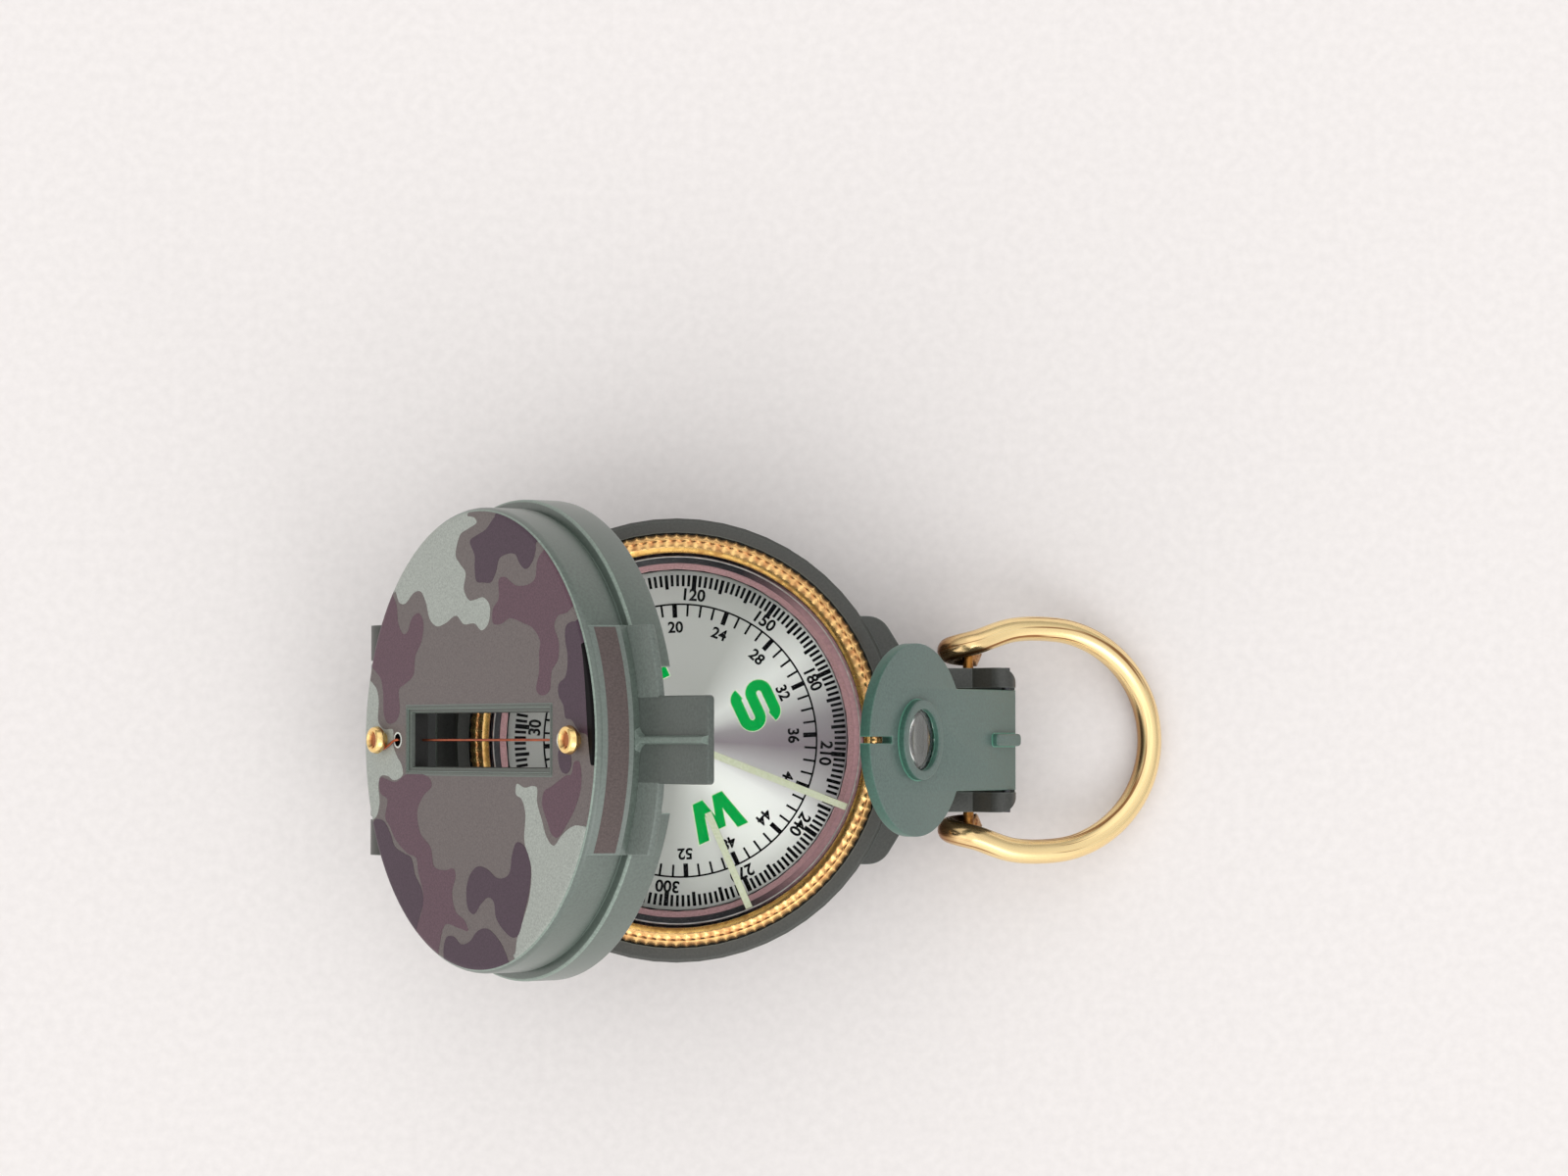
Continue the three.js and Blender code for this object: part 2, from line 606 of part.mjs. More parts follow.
function capsuleCrystal() {
  return turned([[0, SEAL_TOP], [CAPSULE_RADIUS, SEAL_TOP], [CAPSULE_RADIUS, CRYSTAL_TOP], [0, CRYSTAL_TOP]],
    INNER_SIDES);
}

function capsuleRetainer() {
  return ringOf(CAPSULE_RADIUS - RETAINER_WIDTH, CAPSULE_RADIUS, CRYSTAL_TOP, RETAINER_TOP, INNER_SIDES);
}

function pivotNeedle() {
  return turned([
    [0, CUP_FLOOR_TOP],
    [NEEDLE_RADIUS, CUP_FLOOR_TOP],
    [NEEDLE_RADIUS, NEEDLE_TIP - NEEDLE_POINT_LENGTH],
    [NEEDLE_POINT_RADIUS, NEEDLE_TIP],
    [0, NEEDLE_TIP],
  ], SMALL_SIDES);
}

function clickSpring() {
  const middle = (SEAT_RADIUS + BORE_RADIUS) / 2;
  const floor = SEAT_TOP - SPRING_POCKET_DEPTH;
  const half = SPRING_LENGTH / 2;
  const shape = new THREE.Shape();
  shape.moveTo(-half, floor);
  shape.quadraticCurveTo(0, floor + 2 * SPRING_RISE, half, floor);
  shape.lineTo(half, floor + SPRING_THICKNESS);
  shape.quadraticCurveTo(0, floor + 2 * SPRING_RISE + SPRING_THICKNESS, -half, floor + SPRING_THICKNESS);
  return across(shape, middle - SPRING_WIDTH / 2, middle + SPRING_WIDTH / 2);
}

function dialCard() {
  const hole = JEWEL_RADIUS + JEWEL_FIT;
  return ringOf(hole, DIAL_RADIUS, DIAL_BOTTOM, DIAL_TOP, ROUND_SIDES);
}

function dialMagnet() {
  const half = MAGNET_LENGTH / 2 - MAGNET_WIDTH / 2;
  const shape = new THREE.Shape();
  shape.moveTo(-half, -MAGNET_WIDTH / 2);
  shape.lineTo(half, -MAGNET_WIDTH / 2);
  shape.absarc(half, 0, MAGNET_WIDTH / 2, -Math.PI / 2, Math.PI / 2);
  shape.lineTo(-half, MAGNET_WIDTH / 2);
  shape.absarc(-half, 0, MAGNET_WIDTH / 2, Math.PI / 2, 1.5 * Math.PI);
  const bottom = DIAL_BOTTOM - MAGNET_THICKNESS;
  return raised(shape, bottom, DIAL_BOTTOM)
    .subtract(post(JEWEL_RADIUS + JEWEL_FIT, bottom - OVERCUT, DIAL_BOTTOM + OVERCUT, 0, 0));
}

function jewelBearing() {
  return turned([
    [0, JEWEL_BOTTOM + JEWEL_CUP_DEPTH],
    [JEWEL_CUP_RADIUS, JEWEL_BOTTOM],
    [JEWEL_RADIUS, JEWEL_BOTTOM],
    [JEWEL_RADIUS, DIAL_TOP],
    [JEWEL_TOP_RADIUS, JEWEL_TOP],
    [0, JEWEL_TOP],
  ], SMALL_SIDES);
}

// The bezel's outer edge is cut by flutes, and the flutes run out as a second row of scallops on its bevel.
function bezelRing() {
  const fine = 2 * KNURL_TEETH;
  const smooth = (radius, height) => ({ count: KNURL_TEETH / 2, radius: () => radius, height });
  const fluted = (radius, height, depth, phase) => ({
    count: fine,
    radius: (i) => radius - ((i + phase) % 2) * depth,
    height,
  });
  const shoulder = BEZEL_TOP - BEZEL_BEVEL_HEIGHT;
  const crest = BEZEL_RADIUS - BEZEL_BEVEL_WIDTH;
  const glassSeat = BEZEL_OPENING_RADIUS + GLASS_SEAT_WIDTH;
  return loftedRings([
    fluted(BEZEL_RADIUS, BEZEL_BOTTOM, KNURL_DEPTH, 0),
    fluted(BEZEL_RADIUS, shoulder, KNURL_DEPTH, 0),
    fluted(crest, BEZEL_TOP, SCALLOP_DEPTH, 1),
    smooth(BEZEL_OPENING_RADIUS, BEZEL_TOP - BEZEL_LIP_SLOPE),
    smooth(BEZEL_OPENING_RADIUS, GLASS_SEAT_TOP),
    smooth(glassSeat, GLASS_SEAT_TOP),
    smooth(glassSeat, BEZEL_BOTTOM),
  ]);
}

function bezelGlass() {
  const radius = BEZEL_OPENING_RADIUS + GLASS_SEAT_WIDTH - GLASS_GAP;
  const bottom = GLASS_TOP - GLASS_THICKNESS;
  return turned([[0, bottom], [radius, bottom], [radius, GLASS_TOP], [0, GLASS_TOP]], KNURL_TEETH / 2);
}

function luminousStrip(innerReach, angle) {
  const half = STRIP_WIDTH / 2;
  const geometry = new THREE.BoxGeometry(STRIP_OUTER_REACH - innerReach, 2 * half, STRIP_THICKNESS);
  geometry.translate((STRIP_OUTER_REACH + innerReach) / 2, 0, GLASS_TOP + STRIP_THICKNESS / 2);
  return solidFrom(geometry.rotateZ(THREE.MathUtils.degToRad(angle)));
}

// The cover's outside: a skirt, a groove and a narrower cap with a rounded edge round the flat face.
function coverBody() {
  const inEdge = CAP_EDGE * (1 - Math.SQRT1_2);
  return turned([
    [0, SKIRT_BOTTOM],
    [SKIRT_RADIUS - SKIRT_EDGE, SKIRT_BOTTOM],
    [SKIRT_RADIUS, SKIRT_BOTTOM + SKIRT_EDGE],
    [SKIRT_RADIUS, SKIRT_TOP - SKIRT_EDGE],
    [SKIRT_RADIUS - SKIRT_EDGE, SKIRT_TOP],
    [CAP_RADIUS - GROOVE_DEPTH, SKIRT_TOP],
    [CAP_RADIUS - GROOVE_DEPTH, CAP_BOTTOM],
    [CAP_RADIUS, CAP_BOTTOM],
    [CAP_RADIUS, FACE_TOP - CAP_EDGE],
    [CAP_RADIUS - inEdge, FACE_TOP - inEdge],
    [CAP_RADIUS - CAP_EDGE, FACE_TOP],
    [0, FACE_TOP],
  ], ROUND_SIDES);
}

function coverHollow() {
  return turned([
    [0, SKIRT_BOTTOM - OVERCUT],
    [SKIRT_INSIDE_RADIUS, SKIRT_BOTTOM - OVERCUT],
    [SKIRT_INSIDE_RADIUS, SKIRT_INSIDE_TOP],
    [CAP_INSIDE_RADIUS, SKIRT_INSIDE_TOP],
    [CAP_INSIDE_RADIUS, PLATE_BOTTOM],
    [0, PLATE_BOTTOM],
  ], ROUND_SIDES);
}

// Plan of the ledge at the free end and of the tab that is lifted by a thumb.
function tabPlan() {
  const root = CAP_INSIDE_RADIUS / 2;
  const blockHalf = BLOCK_WIDTH / 2;
  const tabHalf = TAB_WIDTH / 2;
  const blockAngle = Math.asin(blockHalf / TAB_LEDGE_RADIUS);
  const tabAngle = Math.asin(tabHalf / TAB_LEDGE_RADIUS);
  const shape = new THREE.Shape();
  shape.moveTo(root, -blockHalf);
  shape.lineTo(TAB_LEDGE_RADIUS * Math.cos(blockAngle), -blockHalf);
  shape.absarc(0, 0, TAB_LEDGE_RADIUS, -blockAngle, -tabAngle);
  shape.lineTo(TAB_END, -tabHalf);
  shape.lineTo(TAB_END, tabHalf);
  shape.lineTo(TAB_LEDGE_RADIUS * Math.cos(tabAngle), tabHalf);
  shape.absarc(0, 0, TAB_LEDGE_RADIUS, tabAngle, blockAngle);
  shape.lineTo(root, blockHalf);
  return shape;
}

// The block that slopes from the cap's edge to the ledge, with a small step above the ledge.
function tabBlock() {
  const slope = turned([
    [CAP_INSIDE_RADIUS, TAB_BOTTOM],
    [BLOCK_SHOULDER_RADIUS, TAB_BOTTOM],
    [BLOCK_SHOULDER_RADIUS, TAB_TOP + BLOCK_STEP],
    [CAP_RADIUS, FACE_TOP - CAP_EDGE],
    [CAP_INSIDE_RADIUS, PLATE_BOTTOM],
  ], ROUND_SIDES);
  const half = BLOCK_WIDTH / 2;
  return slope.intersect(block([0, -half, TAB_BOTTOM - OVERCUT], [TAB_END, half, FACE_TOP + OVERCUT]));
}

// The rib that stiffens the tab, drawn from the end and carried along X.
function tabRib() {
  const half = TAB_RIB_WIDTH / 2;
  const section = outline([
    [-half, TAB_BOTTOM + TAB_THICKNESS / 2],
    [half, TAB_BOTTOM + TAB_THICKNESS / 2],
    [half, TAB_TOP],
    [half / 2, TAB_TOP + TAB_RIB_HEIGHT],
    [-half / 2, TAB_TOP + TAB_RIB_HEIGHT],
    [-half, TAB_TOP],
  ]);
  const length = TAB_END - BLOCK_SHOULDER_RADIUS + BLOCK_STEP;
  const geometry = new THREE.ExtrudeGeometry(section, { depth: length, bevelEnabled: false });
  geometry.rotateX(Math.PI / 2).rotateZ(Math.PI / 2);
  return solidFrom(geometry.translate(BLOCK_SHOULDER_RADIUS - BLOCK_STEP, 0, 0));
}

// The cover's hinge knuckle and the arm that joins it to the skirt.
function coverKnuckle() {
  const armBottom = SKIRT_BOTTOM + SKIRT_EDGE;
  const arm = outline([
    [HINGE_X, armBottom],
    [-CAP_INSIDE_RADIUS / 2, armBottom],
    [-CAP_INSIDE_RADIUS / 2, SKIRT_TOP - SKIRT_EDGE],
    [HINGE_X, HINGE_Z + HINGE_BARREL_RADIUS - KNUCKLE_ARM_DROP],
  ]);
  return joined(
    bar(HINGE_BARREL_RADIUS, -KNUCKLE_HALF, KNUCKLE_HALF, HINGE_X, HINGE_Z, INNER_SIDES),
    across(arm, -KNUCKLE_HALF, KNUCKLE_HALF),
  );
}

function coverShell() {
  const halfLength = WINDOW_LENGTH / 2;
  const halfWidth = WINDOW_WIDTH / 2;
  const frame = block(
    [WINDOW_CENTRE - halfLength - WINDOW_FRAME, -halfWidth - WINDOW_FRAME, WINDOW_FRAME_BOTTOM],
    [WINDOW_CENTRE + halfLength + WINDOW_FRAME, halfWidth + WINDOW_FRAME, WINDOW_FRAME_TOP],
  );
  const opening = block(
    [WINDOW_CENTRE - halfLength, -halfWidth, WINDOW_FRAME_BOTTOM - OVERCUT],
    [WINDOW_CENTRE + halfLength, halfWidth, WINDOW_FRAME_TOP + OVERCUT],
  );
  const notch = block(
    [CAP_INSIDE_RADIUS / 2, -NOTCH_WIDTH / 2, SKIRT_BOTTOM - OVERCUT],
    [SKIRT_RADIUS + OVERCUT, NOTCH_WIDTH / 2, TAB_BOTTOM],
  );
  const hingeBore = bar(HINGE_PIN_RADIUS + PIN_RUNNING_GAP, -HINGE_WIDTH, HINGE_WIDTH, HINGE_X, HINGE_Z);
  const wirePassage = solidFrom(
    new THREE.CylinderGeometry(WIRE_PASSAGE_RADIUS, WIRE_PASSAGE_RADIUS, 2 * WIRE_HOLE_OFFSET, WIRE_SIDES)
      .rotateZ(Math.PI / 2)
      .translate(WINDOW_CENTRE, 0, PLATE_BOTTOM - WIRE_BELOW_PLATE),
  );
  const tab = raised(tabPlan(), TAB_BOTTOM, TAB_TOP);
  let shell = joined(coverBody(), tab, tabBlock(), tabRib(), coverKnuckle())
    .subtract(coverHollow())
    .subtract(notch)
    .add(frame)
    .subtract(opening)
    .subtract(hingeBore)
    .subtract(wirePassage);
  for (const side of [-1, 1]) {
    const low = PLATE_BOTTOM - OVERCUT;
    const high = FACE_TOP + OVERCUT;
    const studX = WINDOW_CENTRE + side * STUD_OFFSET;
    const holeX = WINDOW_CENTRE + side * WIRE_HOLE_OFFSET;
    shell = shell
      .subtract(post(STUD_SHANK_RADIUS + STUD_FIT, low, high, studX, 0, STUD_SIDES))
      .subtract(post(WIRE_HOLE_RADIUS, low, high, holeX, 0, STUD_SIDES));
  }
  return shell;
}

// The sighting wire leaves a stud, drops through a hole beside it and crosses the window under the plate.
function sightWire() {
  const above = FACE_TOP + WIRE_RADIUS + WIRE_LIFT;
  const level = PLATE_BOTTOM - WIRE_BELOW_PLATE;
  const besideNeck = -(STUD_NECK_RADIUS + WIRE_RADIUS + WIRE_NECK_GAP);
  const half = [
    [STUD_OFFSET, besideNeck, above],
    [(STUD_OFFSET + WIRE_HOLE_OFFSET) / 2, besideNeck / 2, above],
    [WIRE_HOLE_OFFSET + WIRE_BEND / 2, 0, above],
    [WIRE_HOLE_OFFSET, 0, FACE_TOP - WIRE_BEND],
    [WIRE_HOLE_OFFSET, 0, level + 2 * WIRE_BEND],
    [WIRE_HOLE_OFFSET - WIRE_BEND, 0, level],
    [WIRE_HOLE_OFFSET - 4 * WIRE_BEND, 0, level],
  ];
  const along = (side) => half.map(([x, y, z]) => [WINDOW_CENTRE + side * x, y, z]);
  return wireThrough([...along(-1), ...along(1).toReversed()], WIRE_RADIUS, WIRE_STEPS, WIRE_SIDES);
}

// A brass stud: a rivet end under the plate, a neck for the wire and a domed head with a dimple.
function sightStud(x) {
  const neckBottom = FACE_TOP + STUD_FIT;
  const headBottom = FACE_TOP + STUD_NECK_HEIGHT;
  const rivetTop = PLATE_BOTTOM - STUD_FIT;
  const top = headBottom + STUD_HEAD_HEIGHT;
  const profile = [
    [0, rivetTop - STUD_RIVET_HEIGHT],
    [STUD_RIVET_RADIUS, rivetTop - STUD_RIVET_HEIGHT],
    [STUD_RIVET_RADIUS, rivetTop],
    [STUD_SHANK_RADIUS, rivetTop],
    [STUD_SHANK_RADIUS, neckBottom],
    [STUD_NECK_RADIUS, neckBottom],
    [STUD_NECK_RADIUS, headBottom],
    ...STUD_HEAD_SHAPE.map(([out, up]) => [out * STUD_HEAD_RADIUS, headBottom + up * STUD_HEAD_HEIGHT]),
    [0, top - STUD_DIMPLE],
  ];
  return turned(profile, STUD_SIDES).translate([x, 0, 0]);
}

function lensBracket() {
  const half = BRACKET_THICKNESS / 2;
  const stemHalf = BRACKET_STEM_WIDTH / 2;
  const farEnd = -BRACKET_DISC_OFFSET - BRACKET_DISC_RADIUS;
  const collar = turned([
    [0, 0],
    [COLLAR_RADIUS, 0],
    [COLLAR_RADIUS, COLLAR_TOP - COLLAR_EDGE],
    [COLLAR_RADIUS - COLLAR_EDGE, COLLAR_TOP],
    [0, COLLAR_TOP],
  ], INNER_SIDES).translate([-BRACKET_DISC_OFFSET, 0, 0]);
  const plate = joined(
    post(BRACKET_DISC_RADIUS, -half, half, -BRACKET_DISC_OFFSET, 0, ROUND_SIDES),
    block([-BRACKET_DISC_OFFSET, -stemHalf, -half], [0, stemHalf, half]),
    bar(BRACKET_BARREL_RADIUS, -stemHalf, stemHalf, 0, 0),
    collar,
    block(
      [BRACKET_BARREL_RADIUS - THUMB_RIB_LENGTH, -THUMB_RIB_WIDTH / 2, 0],
      [BRACKET_BARREL_RADIUS, THUMB_RIB_WIDTH / 2, half + THUMB_RIB_HEIGHT],
    ),
  );
  const slot = block(
    [farEnd - OVERCUT, -SIGHT_SLOT_WIDTH / 2, -half - OVERCUT],
    [farEnd + SIGHT_SLOT_LENGTH, SIGHT_SLOT_WIDTH / 2, half + OVERCUT],
  );
  return plate
    .subtract(slot)
    .subtract(post(LENS_APERTURE_RADIUS, -half, COLLAR_TOP + OVERCUT, -BRACKET_DISC_OFFSET, 0, INNER_SIDES))
    .subtract(post(LENS_RADIUS + LENS_FIT, -half - OVERCUT, LENS_SEAT, -BRACKET_DISC_OFFSET, 0, INNER_SIDES))
    .subtract(bar(BRACKET_PIN_RADIUS + PIN_RUNNING_GAP, -TAIL_WIDTH, TAIL_WIDTH, 0, 0));
}

// A lens with two bulged faces, seated under the collar's lip.
function magnifierLens() {
  const edgeTop = LENS_SEAT - LENS_SEAT_GAP;
  const edgeBottom = edgeTop - LENS_EDGE;
  const bulge = (share) => LENS_CROWN * (1 - share * share);
  const shares = Array.from({ length: LENS_STEPS }, (_, i) => (i + 1) / LENS_STEPS);
  const profile = [
    [0, edgeBottom - LENS_CROWN],
    ...shares.map((share) => [share * LENS_RADIUS, edgeBottom - bulge(share)]),
    ...shares.toReversed().map((share) => [share * LENS_RADIUS, edgeTop + bulge(share)]),
    [0, edgeTop + LENS_CROWN],
  ];
  return turned(profile, SMALL_SIDES).translate([-BRACKET_DISC_OFFSET, 0, 0]);
}

function lensRetainer() {
  const bottom = -BRACKET_THICKNESS / 2 + LENS_FIT / 2;
  const inner = LENS_RADIUS - LENS_RETAINER_WIDTH;
  return ringOf(inner, LENS_RADIUS, bottom, bottom + LENS_RETAINER_HEIGHT, SMALL_SIDES)
    .translate([-BRACKET_DISC_OFFSET, 0, 0]);
}

// One half of the thumb ring's centre line: the curled eye, the arm and the round far end.
function ringHalf() {
  const points = [];
  for (let i = 0; i <= RING_EYE_POINTS; i += 1) {
    const left = 1 - i / RING_EYE_POINTS;
    const angle = Math.PI / 2 + THREE.MathUtils.degToRad(RING_EYE_TURN) * left;
    const side = RING_EYE_OFFSET - RING_EYE_SHIFT * left;
    points.push([RING_EYE_RADIUS * Math.cos(angle), side, RING_EYE_RADIUS * Math.sin(angle)]);
  }
  const arcStart = RING_LENGTH - RING_ARC_LENGTH;
  const bulge = RING_EYE_OFFSET + RING_ARM_BULGE * (RING_HALF_WIDTH - RING_EYE_OFFSET);
  points.push([arcStart / 2, bulge, RING_EYE_RADIUS]);
  for (let i = 0; i < RING_ARC_POINTS; i += 1) {
    const angle = (Math.PI / 2) * (1 - i / RING_ARC_POINTS);
    const reach = arcStart + RING_ARC_LENGTH * Math.cos(angle);
    points.push([reach, RING_HALF_WIDTH * Math.sin(angle), RING_EYE_RADIUS]);
  }
  return points;
}

function thumbRing() {
  const half = ringHalf();
  const mirrored = half.toReversed().map(([x, y, z]) => [x, -y, z]);
  const points = [...half, [RING_LENGTH, 0, RING_EYE_RADIUS], ...mirrored];
  return wireThrough(points, RING_WIRE_RADIUS, RING_STEPS, RING_SIDES);
}

// Assembly. Each turned group holds pieces that are described in the group's own frame.
const compass = new THREE.Group();

const hingePin = bar(HINGE_PIN_RADIUS, -HINGE_WIDTH / 2, HINGE_WIDTH / 2, HINGE_X, HINGE_Z);
const tailHalf = TAIL_WIDTH / 2;
const bracketPin = bar(BRACKET_PIN_RADIUS, -tailHalf, tailHalf, BRACKET_AXIS_REACH, BRACKET_AXIS_Z);
const ringPin = bar(RING_PIN_RADIUS, -RING_EYE_OFFSET, RING_EYE_OFFSET, RING_PIVOT_REACH, RING_PIVOT_HEIGHT);
compass.add(
  meshFrom('base_case', baseCase(), casePlastic),
  meshFrom('capsule_cup', capsuleCup(), capsulePlastic),
  meshFrom('capsule_seal', capsuleSeal(), sealRubber),
  meshFrom('capsule_crystal', capsuleCrystal(), clearGlass),
  meshFrom('capsule_retainer', capsuleRetainer(), blackPlastic),
  meshFrom('pivot_needle', pivotNeedle(), steel),
  meshFrom('bezel_click_spring', clickSpring(), steel),
  meshFrom('cover_hinge_pin', hingePin, steel),
  meshFrom('bracket_hinge_pin', bracketPin, steel),
  meshFrom('ring_pivot_pin', ringPin, goldBrass),
);

const dial = new THREE.Group();
dial.add(
  meshFrom('dial_card', dialCard(), dialMetal),
  meshFrom('dial_magnet', dialMagnet(), magnetSteel),
  meshFrom('jewel_bearing', jewelBearing(), jewelStone),
);

const bezel = new THREE.Group();
bezel.add(
  meshFrom('bezel_ring', bezelRing(), goldBrass),
  meshFrom('bezel_glass', bezelGlass(), clearGlass),
  meshFrom('marching_line_long', luminousStrip(LONG_STRIP_INNER_REACH, LONG_STRIP_ANGLE), luminousPaint),
  meshFrom('marching_line_short', luminousStrip(SHORT_STRIP_INNER_REACH, SHORT_STRIP_ANGLE), luminousPaint),
);

const coverFrame = new THREE.Group();
coverFrame.position.set(-HINGE_X, 0, -HINGE_Z);
coverFrame.add(
  meshFrom('cover_shell', coverShell(), coverPlastic),
  meshFrom('sight_wire', sightWire(), copperWire),
  meshFrom('sight_stud_front', sightStud(WINDOW_CENTRE + STUD_OFFSET), goldBrass),
  meshFrom('sight_stud_rear', sightStud(WINDOW_CENTRE - STUD_OFFSET), goldBrass),
);
const cover = new THREE.Group();
cover.position.set(HINGE_X, 0, HINGE_Z);
cover.rotation.y = THREE.MathUtils.degToRad(-COVER_OPEN);
cover.add(coverFrame);

const bracket = new THREE.Group();
bracket.position.set(BRACKET_AXIS_REACH, 0, BRACKET_AXIS_Z);
bracket.rotation.y = THREE.MathUtils.degToRad(BRACKET_RAISED);
bracket.add(
  meshFrom('lens_bracket', lensBracket(), bracketPlastic),
  meshFrom('magnifier_lens', magnifierLens(), clearGlass),
  meshFrom('lens_retainer', lensRetainer(), blackPlastic),
);

const ring = new THREE.Group();
ring.position.set(RING_PIVOT_REACH, 0, RING_PIVOT_HEIGHT);
ring.rotation.y = RING_TILT;
ring.add(meshFrom('thumb_ring', thumbRing(), goldBrass));

compass.add(dial, bezel, cover, bracket, ring);

export default compass;
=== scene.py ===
"""Looks of a folding sighting compass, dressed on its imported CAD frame.

Lengths are in millimetres and angles in degrees unless a name says otherwise.
Meshes are drawn in millimetres and scaled to metres when they are placed.
"""
import json
import math

import bmesh
import bpy
from mathutils import Matrix, Vector
from mathutils.geometry import delaunay_2d_cdt


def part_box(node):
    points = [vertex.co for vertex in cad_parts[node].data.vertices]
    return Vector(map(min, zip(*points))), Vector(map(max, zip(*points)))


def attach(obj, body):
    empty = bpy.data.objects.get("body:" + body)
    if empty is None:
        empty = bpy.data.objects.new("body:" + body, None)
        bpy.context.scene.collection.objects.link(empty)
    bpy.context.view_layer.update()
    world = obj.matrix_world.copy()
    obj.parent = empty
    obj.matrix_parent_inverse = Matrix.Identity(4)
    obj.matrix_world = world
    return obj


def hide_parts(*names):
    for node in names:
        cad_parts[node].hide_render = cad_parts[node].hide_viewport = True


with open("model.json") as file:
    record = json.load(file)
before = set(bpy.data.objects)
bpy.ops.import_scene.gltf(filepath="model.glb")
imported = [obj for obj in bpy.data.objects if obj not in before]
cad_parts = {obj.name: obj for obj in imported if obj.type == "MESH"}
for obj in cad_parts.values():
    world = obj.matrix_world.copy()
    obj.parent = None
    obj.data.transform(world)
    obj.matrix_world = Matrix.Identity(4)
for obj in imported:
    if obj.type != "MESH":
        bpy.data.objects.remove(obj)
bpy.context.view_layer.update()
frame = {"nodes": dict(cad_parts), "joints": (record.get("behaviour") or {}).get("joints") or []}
MM = 0.001

# Camera of the photograph, almost straight above the compass
CAMERA_PLACE = (11.64, -0.1, 515.0)
CAMERA_TARGET = (13.07, 18.49, 15.0)
CAMERA_LENS = 94.39
SENSOR_WIDTH = 36.0

# Case and tail
CASE_EDGE = 0.22
TAIL_START = 31.0

# Cover, described closed
SKIRT_RADIUS = 27.45
SKIRT_INSIDE_RADIUS = 26.2
SKIRT_BOTTOM = 15.6
SKIRT_TOP = 19.8
SKIRT_INSIDE_TOP = 19.2
CAP_BOTTOM = 20.3
CAP_RADIUS = 26.4
CAP_INSIDE_RADIUS = 24.75
CAP_EDGE = 0.9
GROOVE_RADIUS = 26.1
FACE_TOP = 25.3
FACE_RADIUS = CAP_RADIUS - CAP_EDGE
PLATE_BOTTOM = 23.9
NOTCH_TOP = 19.4
TAB_BOTTOM = 19.75
TAB_TOP = 20.65
TAB_HALF = 4.75
TAB_END = 41.3
TAB_ROOT_RADIUS = 25.05
TAB_EDGE = 0.18
LEDGE_RADIUS = 31.9
BLOCK_HALF = 12.5
BLOCK_RADIUS = 27.9
BLOCK_STEP = 0.8
BLOCK_TOP = FACE_TOP - CAP_EDGE + 0.25
BLOCK_TOP_RADIUS = CAP_RADIUS - 0.1
RIB_HALF = 0.38
RIB_HEIGHT = 0.7
RIB_ROOT = 1.2
NOTCH_HALF = 8.0
KNUCKLE_RADIUS = 4.0
KNUCKLE_HALF = 9.3
KNUCKLE_BORE = 1.07
WINDOW_CENTRE = 0.6
WINDOW_HALF_LENGTH = 15.6
WINDOW_HALF_WIDTH = 3.1
WINDOW_FRAME = 1.0
WINDOW_FRAME_FOOT = -2.4
WIRE_HOLE_OFFSET = 18.5
WIRE_HOLE_RADIUS = 0.75
WIRE_HOLES = [WINDOW_CENTRE + side * WIRE_HOLE_OFFSET for side in (-1, 1)]
STUD_OFFSET = 21.8
STUD_RADIUS = 1.65
STUD_HEIGHT = 1.25
STUD_NECK_RADIUS = 0.85
STUD_NECK_HEIGHT = 0.5

# Print on the cover: thickness of a layer, how far it wraps over the rounded edge and the shift of its
# outlines; then the first angle, span and depth of the dark crescent, a painted shadow at the edge
LAYER = 0.008
PRINT_ANGLE = 30.0
FACE_SHIFT = 1.33
CRESCENT_START = -6
CRESCENT_SPAN = 30
CRESCENT_DEPTH = 0.9

# Bezel
BEZEL_RADIUS = 25.12
BEZEL_OPENING = 22.75
BEZEL_BOTTOM = 13.5
BEZEL_TOP = 16.6
BEZEL_SEAT = 23.5
BEZEL_SEAT_TOP = 15.15
BEZEL_SLOPE = 23.4
BEZEL_SLOPE_BOTTOM = 15.9
TEETH = 128

# Dial: the angle of its zero from +X, the middle and thickness of its print, and its green letters
DIAL_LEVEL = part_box("dial_card")[1][2] / MM
DIAL_ZERO = 205.0
PRINT_SHIFT = (0.35, -0.05)
PRINT = 0.02
LETTER_RADIUS = 10.2
LETTER_SCALE = 1.1
LETTER_EDGE = 0.09

# Scales of the dial: readings in a turn, outer radius, ticks and numbers.
# A tick is (every how many readings, length, width), and the numbers are (every, size, radius).
MIL_RADIUS = 16.75
SCALES = [
    (360, 20.35, [(30, 1.75, 0.56), (10, 1.75, 0.42), (2, 1.4, 0.35)], (30, 2.0, 17.87)),
    (64, MIL_RADIUS, [(4, 1.65, 0.58), (1, 1.5, 0.27)], (4, 1.87, 13.85)),
]

# Lens bracket, described folded flat with its hinge axis at its own origin, then raised
BRACKET_RAISED = 59.0
PLATE_HALF = 0.7
STEM_HALF = 6.05
DISC_RADIUS = 11.25
DISC_OFFSET = 23.3
PLATE_END = 1.25
COLLAR_RADIUS = 4.7
COLLAR_TOP = 1.6
APERTURE_RADIUS = 3.55
LENS_RADIUS = 4.0
LENS_SEAT_RADIUS = LENS_RADIUS + 0.12
LENS_SEAT_TOP = 0.9
LENS_TOP = 0.7
LENS_BOTTOM = 0.2
LENS_CROWN = 0.5
THUMB_RIB_LENGTH = 6.2
THUMB_RIB_HALF = 0.75
THUMB_RIB_TOP = 1.5
SLOT_HALF = 0.375
SLOT_LENGTH = 5.2

# Capsule's top ring
RETAINER_INSIDE = 21.6
RETAINER_RADIUS = 22.75
RETAINER_BOTTOM = 12.58
RETAINER_TOP = 13.28
# Radii of the bright line on the ring's top, a painted highlight
RETAINER_GLINT_LINE = (22.28, 22.5)
LIP_INSIDE = 20.95

